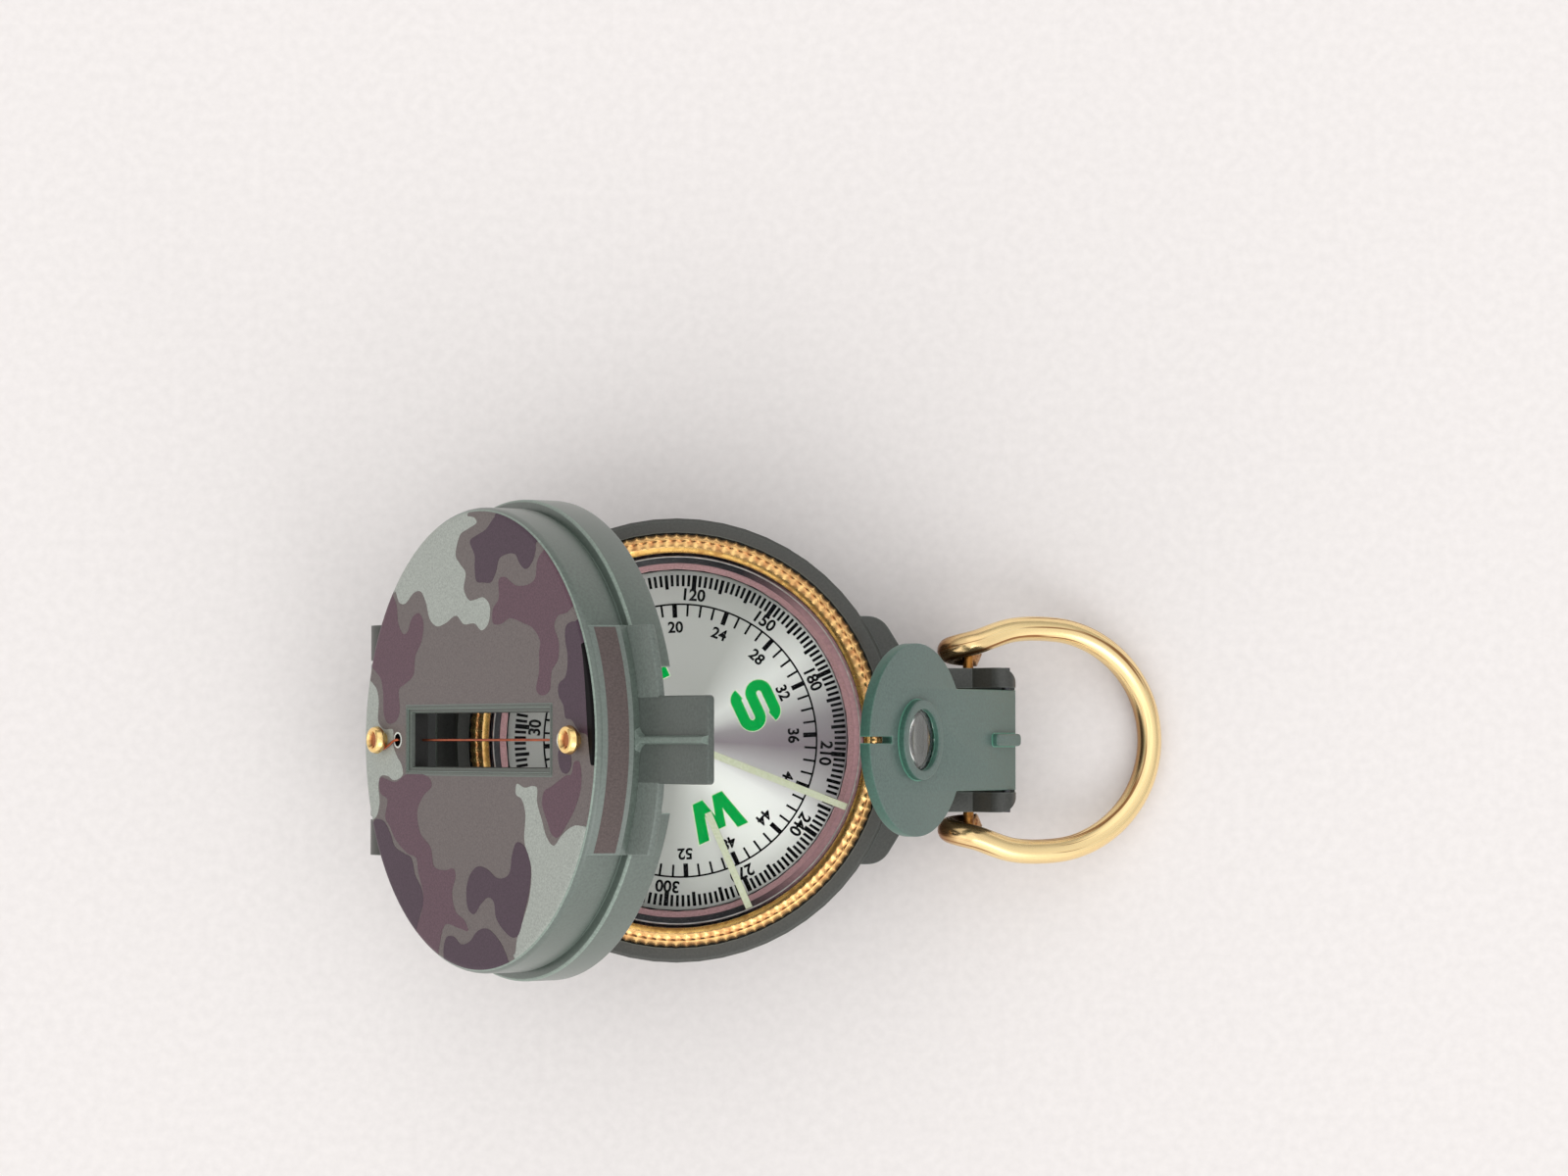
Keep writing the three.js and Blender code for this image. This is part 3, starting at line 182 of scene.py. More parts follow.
# Thumb ring, described lying flat with its pivot at its own origin
RING_WIRE = 1.5
RING_LENGTH = 24.4
RING_HALF_WIDTH = 13.7
RING_ARC_LENGTH = 15.0
RING_EYE_RADIUS = 2.3
RING_EYE_OFFSET = 10.9
RING_EYE_SHIFT = 0.35
RING_EYE_TURN = 235.0
RING_EYE_LEAN = 1.1
RING_ARM_TAPER = 0.25
RING_TABLE_GAP = 0.05

# Scale along a wire of the lines on it, and the length, fade and strength of its browner ends
WIRE_STRETCH = 0.012
BROWN_LENGTH = 12
BROWN_FADE = 10
BROWN_SHARE = 0.7

JOINTS = {joint["name"]: joint for joint in frame["joints"]}


def spot(name):
    """A joint's place, in millimetres."""
    return Vector(JOINTS[name]["pos_m"]) / MM


def turn(place, degrees):
    return Matrix.Translation(place) @ Matrix.Rotation(math.radians(degrees), 4, "Y")


COVER_OPEN = -JOINTS["cover_hinge"]["range_deg"][0]
HINGE = spot("cover_hinge")
HERE = Matrix.Identity(4)
COVER = turn(HINGE, -COVER_OPEN) @ Matrix.Translation(-HINGE)
BRACKET = turn(spot("bracket_hinge"), BRACKET_RAISED)
RING_PIVOT = spot("ring_pivot")
RING_DROP = RING_PIVOT.z - RING_WIRE - RING_TABLE_GAP
RING_REACH = math.hypot(RING_LENGTH, RING_EYE_RADIUS)
RING_TILT = math.asin(RING_DROP / RING_REACH) + math.atan2(RING_EYE_RADIUS, RING_LENGTH)
RING = turn(RING_PIVOT, math.degrees(RING_TILT))


def rgb(red, green, blue):
    """A display colour from 0 to 255 as a linear colour."""
    def part(value):
        value /= 255
        return value / 12.92 if value <= 0.04045 else ((value + 0.055) / 1.055) ** 2.4
    return (part(red), part(green), part(blue), 1.0)


def scaled(color, factor):
    return (color[0] * factor, color[1] * factor, color[2] * factor, 1.0)


class Wiring:
    """Short calls for the nodes of one node tree."""

    def __init__(self, tree):
        self.nodes = tree.nodes
        self.links = tree.links

    def feed(self, socket, value):
        if isinstance(value, bpy.types.NodeSocket):
            self.links.new(value, socket)
        else:
            socket.default_value = value

    def add(self, kind, inputs=None, **settings):
        node = self.nodes.new(kind)
        for key, value in settings.items():
            setattr(node, key, value)
        for key, value in (inputs or {}).items():
            self.feed(node.inputs[key], value)
        return node

    def ramp(self, factor, *stops):
        """A colour for each part of the factor's range, from pairs of place and colour."""
        node = self.add("ShaderNodeValToRGB", {"Fac": factor})
        elements = node.color_ramp.elements
        while len(elements) < len(stops):
            elements.new(0.5)
        for element, (place, color) in zip(elements, stops):
            element.position = place
            element.color = color if isinstance(color, tuple) else (color, color, color, 1.0)
        return node.outputs["Color"]

    def mix(self, factor, first, second):
        node = self.add("ShaderNodeMix", data_type="RGBA")
        colors = [socket for socket in node.inputs if socket.type == "RGBA"]
        for socket, value in zip([node.inputs["Factor"], *colors], (factor, first, second)):
            self.feed(socket, value)
        return [socket for socket in node.outputs if socket.type == "RGBA"][0]

    def part(self, vector, axis):
        """One part of a vector."""
        return self.add("ShaderNodeSeparateXYZ", {"Vector": vector}).outputs[axis]

    def halved(self, value):
        """A value from -1 to 1 as one from 0 to 1."""
        return self.add("ShaderNodeMath", {0: value, 1: 0.5, 2: 0.5}, operation="MULTIPLY_ADD").outputs[0]


class Finish(Wiring):
    """One procedural material."""

    def __init__(self, name, color, roughness, metallic=0.0):
        self.material = bpy.data.materials.new(name)
        self.material.use_nodes = True
        super().__init__(self.material.node_tree)
        self.shader = self.nodes["Principled BSDF"]
        self.set("Base Color", color)
        self.set("Roughness", roughness)
        self.set("Metallic", metallic)

    def set(self, socket, value):
        self.feed(self.shader.inputs[socket], value)

    def place(self, stretch=(1, 1, 1)):
        coords = self.add("ShaderNodeTexCoord").outputs["Object"]
        return self.add("ShaderNodeMapping", {"Vector": coords, "Scale": stretch}).outputs["Vector"]

    def noise(self, size, detail=3.0, stretch=(1, 1, 1)):
        inputs = {"Vector": self.place(stretch), "Scale": 1 / (size * MM), "Detail": detail}
        return self.add("ShaderNodeTexNoise", inputs).outputs["Fac"]

    def edges(self, radius):
        """0 on open surfaces, rising towards 1 along edges."""
        bevel = self.add("ShaderNodeBevel", {"Radius": radius * MM}, samples=6).outputs["Normal"]
        true = self.add("ShaderNodeNewGeometry").outputs["Normal"]
        dot = self.add("ShaderNodeVectorMath", {0: bevel, 1: true}, operation="DOT_PRODUCT")
        return self.ramp(dot.outputs["Value"], (0.76, 1.0), (0.95, 0.0))

    def bump(self, height, depth, strength=1.0):
        inputs = {"Height": height, "Distance": depth * MM, "Strength": strength}
        self.set("Normal", self.add("ShaderNodeBump", inputs).outputs["Normal"])


def plastic(name, color, edge_highlight, roughness=0.4, sheen=0.0):
    """Moulded plastic: fine speckle, a faint cloudiness, edges lightened as a painted highlight, and a satin
    sheen.
    """
    finish = Finish(name, color, roughness)
    speck = finish.noise(0.3, 4.0)
    cloud = finish.noise(7.0, 2.0)
    tone = finish.ramp(speck, (0.3, scaled(color, 0.78)), (0.7, scaled(color, 1.22)))
    tone = finish.mix(finish.ramp(cloud, (0.35, 0.0), (0.75, 0.35)), tone, scaled(color, 0.9))
    # Painted highlight: edges are lightened towards the highlight colour
    tone = finish.mix(finish.edges(0.35), tone, edge_highlight)
    finish.set("Base Color", tone)
    finish.set("Roughness", finish.ramp(speck, (0.3, roughness - 0.06), (0.7, roughness + 0.08)))
    finish.set("Coat Weight", sheen)
    finish.set("Coat Roughness", 0.35)
    finish.set("Coat IOR", 1.8)
    finish.bump(speck, 0.012, 0.6)
    return finish.material


def ink(name, color, roughness=0.42, gloss=0.25):
    """Paint with a fine mottle: the print, and also the marks of painted shade, painted highlight and painted
    light.
    """
    finish = Finish(name, color, roughness)
    finish.set("Specular IOR Level", gloss)
    speck = finish.noise(0.22, 4.0)
    finish.set("Base Color", finish.ramp(speck, (0.3, scaled(color, 0.8)), (0.7, scaled(color, 1.2))))
    finish.bump(speck, 0.008, 0.5)
    return finish.material


def gold(name, color, dark, roughness=0.24, wear=1.0):
    """Lacquered brass: brown in patches and hollows, rougher where it is brown."""
    finish = Finish(name, color, roughness, 1.0)
    patch = finish.noise(0.9, 5.0)
    stain = finish.ramp(patch, (0.36, 0.75 * wear), (0.54, 0.0))
    hollow = finish.add("ShaderNodeAttribute", attribute_name="hollow").outputs["Fac"]
    tone = finish.mix(stain, color, dark)
    finish.set("Base Color", finish.mix(hollow, tone, dark))
    finish.set("Roughness", finish.ramp(patch, (0.3, roughness + 0.12), (0.6, roughness)))
    finish.bump(finish.noise(0.35, 4.0), 0.02, 0.4 * wear)
    return finish.material


def drawn_wire(name, color, dark, roughness=0.22):
    """Drawn brass: fine brown lines along the wire and browner towards its two ends, with a painted
    reflection browning its inner side.
    """
    finish = Finish(name, color, roughness, 1.0)
    around = finish.add("ShaderNodeAttribute", attribute_name="wire").outputs["Vector"]
    lines = finish.add("ShaderNodeTexNoise", {"Vector": around, "Scale": 3.6, "Detail": 3.0}).outputs["Fac"]
    stain = finish.ramp(lines, (0.39, 0.85), (0.45, 0.0))
    hollow = finish.add("ShaderNodeAttribute", attribute_name="hollow").outputs["Fac"]
    tone = finish.mix(stain, color, dark)
    # Painted reflection: faces turned towards -X, the bow's inner side, are browned as if they mirrored dark
    # things
    inwards = finish.halved(finish.part(finish.add("ShaderNodeTexCoord").outputs["Normal"], "X"))
    tone = finish.mix(finish.ramp(inwards, (0.06, 0.75), (0.3, 0.0)), tone, dark)
    finish.set("Base Color", finish.mix(hollow, tone, scaled(dark, 1.3)))
    finish.set("Roughness", finish.ramp(lines, (0.35, roughness + 0.14), (0.6, roughness)))
    finish.bump(lines, 0.02, 0.3)
    return finish.material


def metal(name, color, roughness=0.3):
    finish = Finish(name, color, roughness, 1.0)
    patch = finish.noise(0.8, 4.0)
    finish.set("Base Color", finish.ramp(patch, (0.35, scaled(color, 0.7)), (0.65, color)))
    finish.bump(patch, 0.01, 0.4)
    return finish.material


# Painted reflection on the dial: tones of its bright and dark sectors, by their angle from +X
PAINTED_SHEEN_SECTORS = [
    (-180, (184, 184, 180)), (-95, (182, 183, 178)), (-62, (226, 227, 222)), (-44, (246, 247, 242)),
    (-31, (255, 255, 252)), (-15, (212, 207, 209)), (-3, (158, 146, 153)), (9, (174, 166, 171)),
    (22, (232, 232, 229)), (34, (250, 251, 247)), (62, (186, 187, 182)), (95, (184, 184, 180)),
    (180, (184, 184, 180)),
]


def brushed_dial():
    """Aluminium brushed in a circle, with bright and dark sectors fanning out from the centre painted into
    its tone as painted reflections.
    """
    finish = Finish("dial_silver", rgb(214, 212, 212), 0.45, 0.8)
    place = finish.place()
    ring = finish.add("ShaderNodeTexWave", {
        "Vector": place, "Scale": 900.0, "Distortion": 1.2, "Detail": 3.0, "Detail Scale": 2.0,
    }, wave_type="RINGS", rings_direction="Z").outputs["Fac"]
    sides = {0: finish.part(place, "Y"), 1: finish.part(place, "X")}
    angle = finish.add("ShaderNodeMath", sides, operation="ARCTAN2").outputs[0]
    turns = finish.add("ShaderNodeMath", {0: angle, 1: math.pi}, operation="DIVIDE").outputs[0]
    stops = [((degree + 180) / 360, rgb(*tone)) for degree, tone in PAINTED_SHEEN_SECTORS]
    # Painted reflection: the sector tones give the dial its bright and dark wedges
    sectors = finish.ramp(finish.halved(turns), *stops)
    cloud = finish.noise(9.0, 3.0)
    veil = finish.ramp(cloud, (0.3, 0.0), (0.7, 0.12))
    finish.set("Base Color", finish.mix(veil, sectors, rgb(250, 250, 248)))
    finish.set("Anisotropic", 0.85)
    finish.set("Anisotropic Rotation", 0.25)
    tangent = finish.add("ShaderNodeTangent", direction_type="RADIAL", axis="Z").outputs["Tangent"]
    finish.set("Tangent", tangent)
    finish.bump(ring, 0.004, 0.35)
    return finish.material


def shaded_ring():
    """Ring of the capsule: mauve at its lit right side, and painted shade in black over the rest of it."""
    black, mauve = rgb(16, 13, 20), rgb(196, 152, 156)
    finish = Finish("retainer_shaded", black, 0.35)
    # Painted shade: black where the bezel's shadow falls, mauve only towards +X
    share = finish.ramp(finish.part(finish.place(), "X"), (0.010, 0.0), (0.017, 1.0))
    speck = finish.noise(0.4, 3.0)
    tone = finish.ramp(speck, (0.3, scaled(mauve, 0.85)), (0.7, scaled(mauve, 1.1)))
    finish.set("Base Color", finish.mix(share, black, tone))
    finish.bump(speck, 0.01, 0.4)
    return finish.material


def clear(name, tint, ior, roughness=0.015):
    """Clear glass that lets the lamps' light straight through."""
    finish = Finish(name, tint, roughness)
    finish.set("Transmission Weight", 1.0)
    finish.set("IOR", ior)
    haze = finish.noise(3.0, 4.0)
    finish.set("Roughness", finish.ramp(haze, (0.4, roughness), (0.75, roughness + 0.03)))
    through = finish.add("ShaderNodeBsdfTransparent", {"Color": tint}).outputs["BSDF"]
    shadow = finish.add("ShaderNodeLightPath").outputs["Is Shadow Ray"]
    blend = finish.add("ShaderNodeMixShader", {0: shadow, 1: finish.shader.outputs["BSDF"], 2: through})
    finish.feed(finish.nodes["Material Output"].inputs["Surface"], blend.outputs["Shader"])
    return finish.material


def glow_paint():
    finish = Finish("luminous_paint", rgb(236, 242, 200), 0.6)
    grain = finish.noise(0.25, 3.0)
    finish.set("Base Color", finish.ramp(grain, (0.3, rgb(228, 234, 188)), (0.7, rgb(244, 248, 214))))
    finish.set("Subsurface Weight", 0.3)
    finish.bump(grain, 0.02, 0.5)
    return finish.material


CASE = plastic("case_green", rgb(68, 69, 65), rgb(104, 112, 105))
# Painted shade: a darker copy of the case plastic for the tail, which lies in shadow
CASE_TAIL_SHADE = plastic("case_tail_shade", rgb(54, 55, 51), rgb(84, 90, 84))
COVER_GREEN = plastic("cover_green", rgb(84, 96, 88), rgb(134, 152, 141), 0.4, 0.5)
TAB_GREEN = plastic("tab_green", rgb(80, 87, 82), rgb(100, 110, 103))
# Painted light: the ledge's lighter green lifts it out of the block's shade
LEDGE_LIT_GREEN = plastic("ledge_lit_green", rgb(101, 110, 104), rgb(120, 131, 124))
# Painted highlight: the rib's lighter green stands for the highlight on its ridge
RIB_HIGHLIGHT_GREEN = plastic("rib_highlight_green", rgb(108, 121, 113), rgb(120, 134, 125))
# Painted highlight: a paler green for the cap's and skirt's rounded edges
RIM_HIGHLIGHT_GREEN = plastic("rim_highlight_green", rgb(132, 146, 136), rgb(140, 156, 145))
# Painted shade: a dark green for the cover's inside faces, which lie in shade
INSIDE_SHADE_GREEN = plastic("cover_inside_shade", rgb(36, 38, 36), rgb(44, 47, 44))
FRAME_GREEN = plastic("frame_green", rgb(76, 82, 76), rgb(120, 132, 122))
BRACKET_GREEN = plastic("bracket_green", rgb(84, 103, 97), rgb(110, 176, 150))
BRACKET_EDGE = plastic("bracket_edge", rgb(60, 98, 85), rgb(94, 154, 130))
FACE_BROWN = ink("face_brown", rgb(104, 96, 94))
FACET_BROWN = ink("facet_brown", rgb(87, 76, 74), 0.5)
SAGE = ink("camouflage_sage", rgb(158, 163, 156))
PLUM = ink("camouflage_plum", rgb(91, 67, 77))
DARK = ink("camouflage_dark", rgb(70, 53, 65))
# Painted highlight: a pale rim round each wire hole
HOLE_RIM_HIGHLIGHT = ink("hole_rim_highlight", rgb(206, 210, 202))
# Painted shadow: black for the crescent at the face's edge and inside the wire holes
SHADOW_BLACK = ink("painted_shadow_black", rgb(14, 12, 14), 0.4, 0.05)
# Painted shade: near black for the window's inner walls
WINDOW_SHADE = ink("window_shade_lining", rgb(34, 34, 33), 0.6)
BLACK_INK = ink("dial_black", rgb(10, 9, 12), 0.5, 0.05)
GREEN_INK = ink("dial_green", rgb(0, 172, 74), 0.5, 0.05)
HALO_INK = ink("dial_halo", rgb(224, 240, 208), 0.5)
BEZEL_GOLD = gold("bezel_gold", rgb(252, 208, 138), rgb(176, 98, 58), 0.24, 0.6)
SLOPE_GOLD = gold("bezel_slope", rgb(246, 198, 116), rgb(172, 108, 56), 0.24, 0.7)
RING_GOLD = drawn_wire("ring_gold", rgb(254, 226, 168), rgb(140, 80, 36))
STUD_GOLD = gold("stud_gold", rgb(255, 218, 146), rgb(150, 62, 26), 0.14, 0.08)
PIN_GOLD = gold("pin_gold", rgb(176, 122, 62), rgb(96, 54, 28), 0.3)
STEEL = metal("pin_steel", rgb(150, 152, 156))
# Painted highlight: bright metal for the glint line on the capsule's ring
RETAINER_GLINT = metal("retainer_glint", rgb(236, 232, 226), 0.3)
COPPER = metal("wire_copper", rgb(196, 104, 72), 0.35)
SILVER = brushed_dial()
# Painted light: the seal's mauve is lighter than the lip's to lift its deep, shaded place
LIT_SEAL_MAUVE = ink("seal_mauve_lit", rgb(222, 176, 178), 0.6)
LIP_MAUVE = ink("lip_mauve", rgb(182, 142, 144), 0.6)
SHADED = shaded_ring()
BLACK = plastic("retainer_black", rgb(20, 17, 24), rgb(44, 38, 50), 0.3)
CAPSULE = plastic("capsule_grey", rgb(52, 48, 52), rgb(80, 76, 80), 0.45)
MAGNET = metal("magnet_steel", rgb(92, 92, 96), 0.45)
JEWEL = ink("jewel_white", rgb(226, 222, 214), 0.2)
GLASS = clear("glass_clear", (0.98, 0.985, 0.98, 1.0), 1.06)
LENS = clear("lens_clear", (0.9, 0.95, 0.93, 1.0), 1.45)
PAINT = glow_paint()


def linked(name, data):
    """A new object in the scene."""
    thing = bpy.data.objects.new(name, data)
    bpy.context.scene.collection.objects.link(thing)
    return thing


def placed(name, mesh, matrix, body, slot, *materials, sharp=38, node=None):
    """Scales a mesh drawn in millimetres to metres, places it, and lets it ride on a body.

    Where a CAD node is named, the piece stands for it.
    """
    mesh.transform(Matrix.Scale(MM, 4) @ matrix)
    for material in materials:
        mesh.materials.append(material)
    mesh.shade_smooth()
    mesh.set_sharp_from_angle(angle=math.radians(sharp))
    piece = linked(name, mesh)
    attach(piece, body)
    if node:
        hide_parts(node)
    return piece


def on_cover(name, mesh, *materials, node=None):
    """Places a piece of the cover, drawn as if the cover were closed."""
    placed(name, mesh, COVER, "cover", "cover_plastic", *materials, node=node)


def mesh_of(name, verts, faces):
    mesh = bpy.data.meshes.new(name)
    mesh.from_pydata(verts, [], faces)
    return mesh


def tidy(mesh, weld=1e-4):
    """Welds doubled corners, drops empty faces and turns every face outwards."""
    draft = bmesh.new()
    draft.from_mesh(mesh)
    bmesh.ops.remove_doubles(draft, verts=draft.verts, dist=weld)
    bmesh.ops.dissolve_degenerate(draft, edges=draft.edges, dist=weld)
    bmesh.ops.recalc_face_normals(draft, faces=draft.faces)
    draft.to_mesh(mesh)
    draft.free()
    return mesh


def merged(name, meshes):
    """Several meshes as one."""
    draft = bmesh.new()
    for mesh in meshes:
        draft.from_mesh(mesh)
        bpy.data.meshes.remove(mesh)
    mesh = bpy.data.meshes.new(name)
    draft.to_mesh(mesh)
    draft.free()
    return mesh


def rounded(corners, steps=6):
    """A closed outline with its corners rounded; a corner is (a, b) or (a, b, radius)."""
    points = []
    count = len(corners)
    for index, corner in enumerate(corners):
        here = Vector(corner[:2])
        if len(corner) < 3:
            points.append(here)
            continue
        before = (Vector(corners[index - 1][:2]) - here).normalized()
        after = (Vector(corners[(index + 1) % count][:2]) - here).normalized()
        half = before.angle(after) / 2
        centre = here + (before + after).normalized() * corner[2] / math.sin(half)
        start = here + before * corner[2] / math.tan(half) - centre
        end = here + after * corner[2] / math.tan(half) - centre
        sweep = start.angle_signed(end)
        for step in range(steps + 1):
            share = -sweep * step / steps
            spin = Matrix.Rotation(share, 2)
            points.append(centre + spin @ start)
    return points


def skinned(name, sections, closed, weld=1e-4):
    """A solid through a row of matching closed sections, either a closed ring or with two flat ends."""
    rows, count = len(sections[0]), len(sections)
    verts = [point for section in sections for point in section]
    faces = [] if closed else [tuple(range(rows)), tuple(range(len(verts) - rows, len(verts)))]
    for index in range(count if closed else count - 1):
        here, there = index * rows, (index + 1) % count * rows
        for row in range(rows):
            after = (row + 1) % rows
            faces.append((here + row, there + row, there + after, here + after))
    return tidy(mesh_of(name, verts, faces), weld)


def lathe(name, outline, sides=180, x=0.0):
    """A ring or disc turned about a line along Z from a closed outline of radius and height."""
    sections = []
    for side in range(sides):
        angle = 2 * math.pi * side / sides
        sections.append([(x + r * math.cos(angle), r * math.sin(angle), height) for r, height in outline])
    return skinned(name, sections, closed=True)


def drawn(name, curve):
    """The mesh of a curve or text, which is then removed."""
    helper = linked(name, curve)
    graph = bpy.context.evaluated_depsgraph_get()
    mesh = bpy.data.meshes.new_from_object(helper.evaluated_get(graph))
    bpy.data.objects.remove(helper)
    bpy.data.curves.remove(curve)
    return tidy(mesh)


def slab(name, loops, low, high, edge=0.0, grow=0.0):
    """A flat solid between two heights, inside the first loop and outside the others."""
    curve = bpy.data.curves.new(name, "CURVE")
    curve.dimensions = "2D"
    curve.fill_mode = "BOTH"
    curve.extrude = (high - low) / 2 - edge
    curve.bevel_depth = edge
    curve.bevel_resolution = 2
    curve.offset = grow - edge
    for loop in loops:
        spline = curve.splines.new("POLY")
        spline.points.add(len(loop) - 1)
        for point, place in zip(spline.points, loop):
            point.co = (place[0], place[1], 0.0, 1.0)
        spline.use_cyclic_u = True
    mesh = drawn(name, curve)
    mesh.transform(Matrix.Translation((0, 0, (low + high) / 2)))
    return mesh


def sheet(name, loop, low, high):
    """A thin flat solid inside a closed outline, which may touch itself."""
    count = len(loop)
    rim = [(index, (index + 1) % count) for index in range(count)]
    points, _, triangles, *_ = delaunay_2d_cdt([Vector(point) for point in loop], rim, [], 1, 1e-4)
    total = len(points)
    sides = {(face[index - 1], face[index]) for face in triangles for index in range(3)}
    verts = [(point.x, point.y, height) for height in (low, high) for point in points]
    faces = [tuple(reversed(face)) for face in triangles]
    faces += [tuple(index + total for index in face) for face in triangles]
    faces += [(a, b, b + total, a + total) for a, b in sides if (b, a) not in sides]
    return tidy(mesh_of(name, verts, faces))


def arc(radius, start, end, x=0.0, y=0.0, steps=24):
    angles = [math.radians(start + (end - start) * step / steps) for step in range(steps + 1)]
    return [(x + radius * math.cos(angle), y + radius * math.sin(angle)) for angle in angles]


def circle(radius, x=0.0, y=0.0, steps=48):
    return arc(radius, 0, 360 - 360 / steps, x, y, steps - 1)


def rectangle(left, low, right, high, corner=None):
    corners = [(left, low), (right, low), (right, high), (left, high)]
    if corner is None:
        return corners
    return rounded([(*point, corner) for point in corners])


def carve(mesh, cutters):
    """Cuts solids out of a mesh."""
    body = linked("carved", mesh)
    helpers = [linked("cutter", cutter) for cutter in cutters]
    for helper in helpers:
        cut = body.modifiers.new("cut", "BOOLEAN")
        cut.operation = "DIFFERENCE"
        cut.solver = "EXACT"
        cut.object = helper
    graph = bpy.context.evaluated_depsgraph_get()
    result = bpy.data.meshes.new_from_object(body.evaluated_get(graph))
    for helper in [body, *helpers]:
        bpy.data.objects.remove(helper)
    return tidy(result)


def keep(mesh, name, kind, values):
    """Stores one value for each corner of a mesh."""
    layer = mesh.attributes.new(name, kind, "POINT")
    for item, value in zip(layer.data, values):
        if kind == "FLOAT_VECTOR":
            item.vector = value
        else:
            item.value = value


def pipe(name, points, radius, sides=24):
    """A round wire through a row of points; each corner keeps its place along and around the wire."""
    path = [Vector(point) for point in points]
    verts, places = [], []
    side = None
    run = 0.0
    for index, here in enumerate(path):
        run += (here - path[max(index - 1, 0)]).length
        along = (path[min(index + 1, len(path) - 1)] - path[max(index - 1, 0)]).normalized()
        if side is None:
            side = along.orthogonal().normalized()
        side = (side - along * side.dot(along)).normalized()
        up = along.cross(side)
        for step in range(sides):
            angle = 2 * math.pi * step / sides
            verts.append(here + (side * math.cos(angle) + up * math.sin(angle)) * radius)
            places.append((math.cos(angle), math.sin(angle), run))
    faces = []
    for index in range(len(path) - 1):
        here, there = index * sides, (index + 1) * sides
        for step in range(sides):
            after = (step + 1) % sides
            faces.append((here + step, here + after, there + after, there + step))
    ends = (0, path[0], path[0] - path[1]), (len(verts) - sides, path[-1], path[-1] - path[-2])
    for first, centre, away in ends:
        verts.append(centre + away.normalized() * radius * 0.45)
        places.append((0.0, 0.0, places[first][2]))
        tip = len(verts) - 1
        faces += [(first + step, first + (step + 1) % sides, tip) for step in range(sides)]
    mesh = mesh_of(name, verts, faces)
    keep(mesh, "wire", "FLOAT_VECTOR", [(a, b, c * WIRE_STRETCH) for a, b, c in places])
    half = run / 2
    brown = [(abs(c - half) - half + BROWN_LENGTH) / BROWN_FADE for _, _, c in places]
    keep(mesh, "hollow", "FLOAT", [BROWN_SHARE * max(0.0, min(1.0, share)) for share in brown])
    return tidy(mesh)


def smooth_path(points, between=8):
    """Points on a smooth curve through a row of points, without loops where their spacing changes."""
    path = [Vector(point) for point in points]
    path = [2 * path[0] - path[1], *path, 2 * path[-1] - path[-2]]
    result = []
    for a, b, c, d in zip(path, path[1:], path[2:], path[3:]):
        before, here, after = (max((q - p).length, 1e-6) ** 0.5 for p, q in ((a, b), (b, c), (c, d)))
        leave = ((b - a) / before - (c - a) / (before + here)) * here + (c - b)
        reach = ((d - c) / after - (d - b) / (here + after)) * here + (c - b)
        for step in range(between):
            t = step / between
            result.append(b * (2 * t ** 3 - 3 * t ** 2 + 1) + leave * (t ** 3 - 2 * t ** 2 + t)
                          + c * (3 * t ** 2 - 2 * t ** 3) + reach * (t ** 3 - t ** 2))
    return [*result, path[-2]]


def smooth_loop(points, between=6):
    path = [Vector(point) for point in points]
    wrapped = smooth_path([path[-1], *path, path[0], path[1]], between)
    return wrapped[between:-between - 1]


def copied(node, flat):
    """A CAD node's mesh in millimetres, with its triangles joined into flat faces or into quads."""
    mesh = frame["nodes"][node].data.copy()
    mesh.materials.clear()
    mesh.transform(Matrix.Scale(1 / MM, 4))
    draft = bmesh.new()
    draft.from_mesh(mesh)
    bmesh.ops.remove_doubles(draft, verts=draft.verts, dist=1e-3)
    if flat:
        limit = math.radians(0.5)
        bmesh.ops.dissolve_limit(draft, angle_limit=limit, verts=draft.verts, edges=draft.edges)
    else:
        limits = {"angle_face_threshold": 1.0, "angle_shape_threshold": 3.0}
        bmesh.ops.join_triangles(draft, faces=draft.faces, **limits)
    draft.to_mesh(mesh)
    draft.free()
    return mesh


def softened(node, edge, body, slot, material):
    """A copy of a CAD node with rounded edges, which stands for the node."""
    piece = placed(node + "_look", copied(node, flat=True), HERE, body, slot, material, node=node)
    bevel = piece.modifiers.new("edges", "BEVEL")
    bevel.width = edge * MM
    bevel.segments = 2
    bevel.limit_method = "ANGLE"
    bevel.angle_limit = math.radians(38)
    bevel.use_clamp_overlap = True
    bevel.harden_normals = True
    return piece


def smoothed(node, body, slot, material):
    """A copy of a CAD wire with its facets smoothed, which stands for the node."""
    mesh = copied(node, flat=False)
    piece = placed(node + "_look", mesh, HERE, body, slot, material, sharp=180, node=node)
    rounding = piece.modifiers.new("round", "SUBSURF")
    rounding.levels = 2
    rounding.render_levels = 2


def dressed(node, material):
    """Gives a CAD node that shows as it is a better material."""
    node_object = frame["nodes"][node]
    node_object.data.materials.clear()
    node_object.data.materials.append(material)


def make_case():
    """The case with rounded edges, and its tail in a darker tone as painted shade."""
    piece = softened("base_case", CASE_EDGE, "base", "case_plastic", CASE)
    piece.data.materials.append(CASE_TAIL_SHADE)
    for face in piece.data.polygons:
        # Painted shade: faces past the tail's start take the darker tone
        face.material_index = int(face.center.x / MM > TAIL_START)


def block_outline(y):
    """The sloping block's outline at one distance from the middle."""
    corners = rounded([
        (CAP_INSIDE_RADIUS, TAB_BOTTOM + 0.2),
        (BLOCK_RADIUS, TAB_BOTTOM + 0.2),
        (BLOCK_RADIUS, TAB_TOP + BLOCK_STEP, 0.15),
        (BLOCK_TOP_RADIUS, BLOCK_TOP),
        (CAP_INSIDE_RADIUS, BLOCK_TOP),
    ])
    return [(math.sqrt(point[0] ** 2 - y ** 2), y, point[1]) for point in corners]


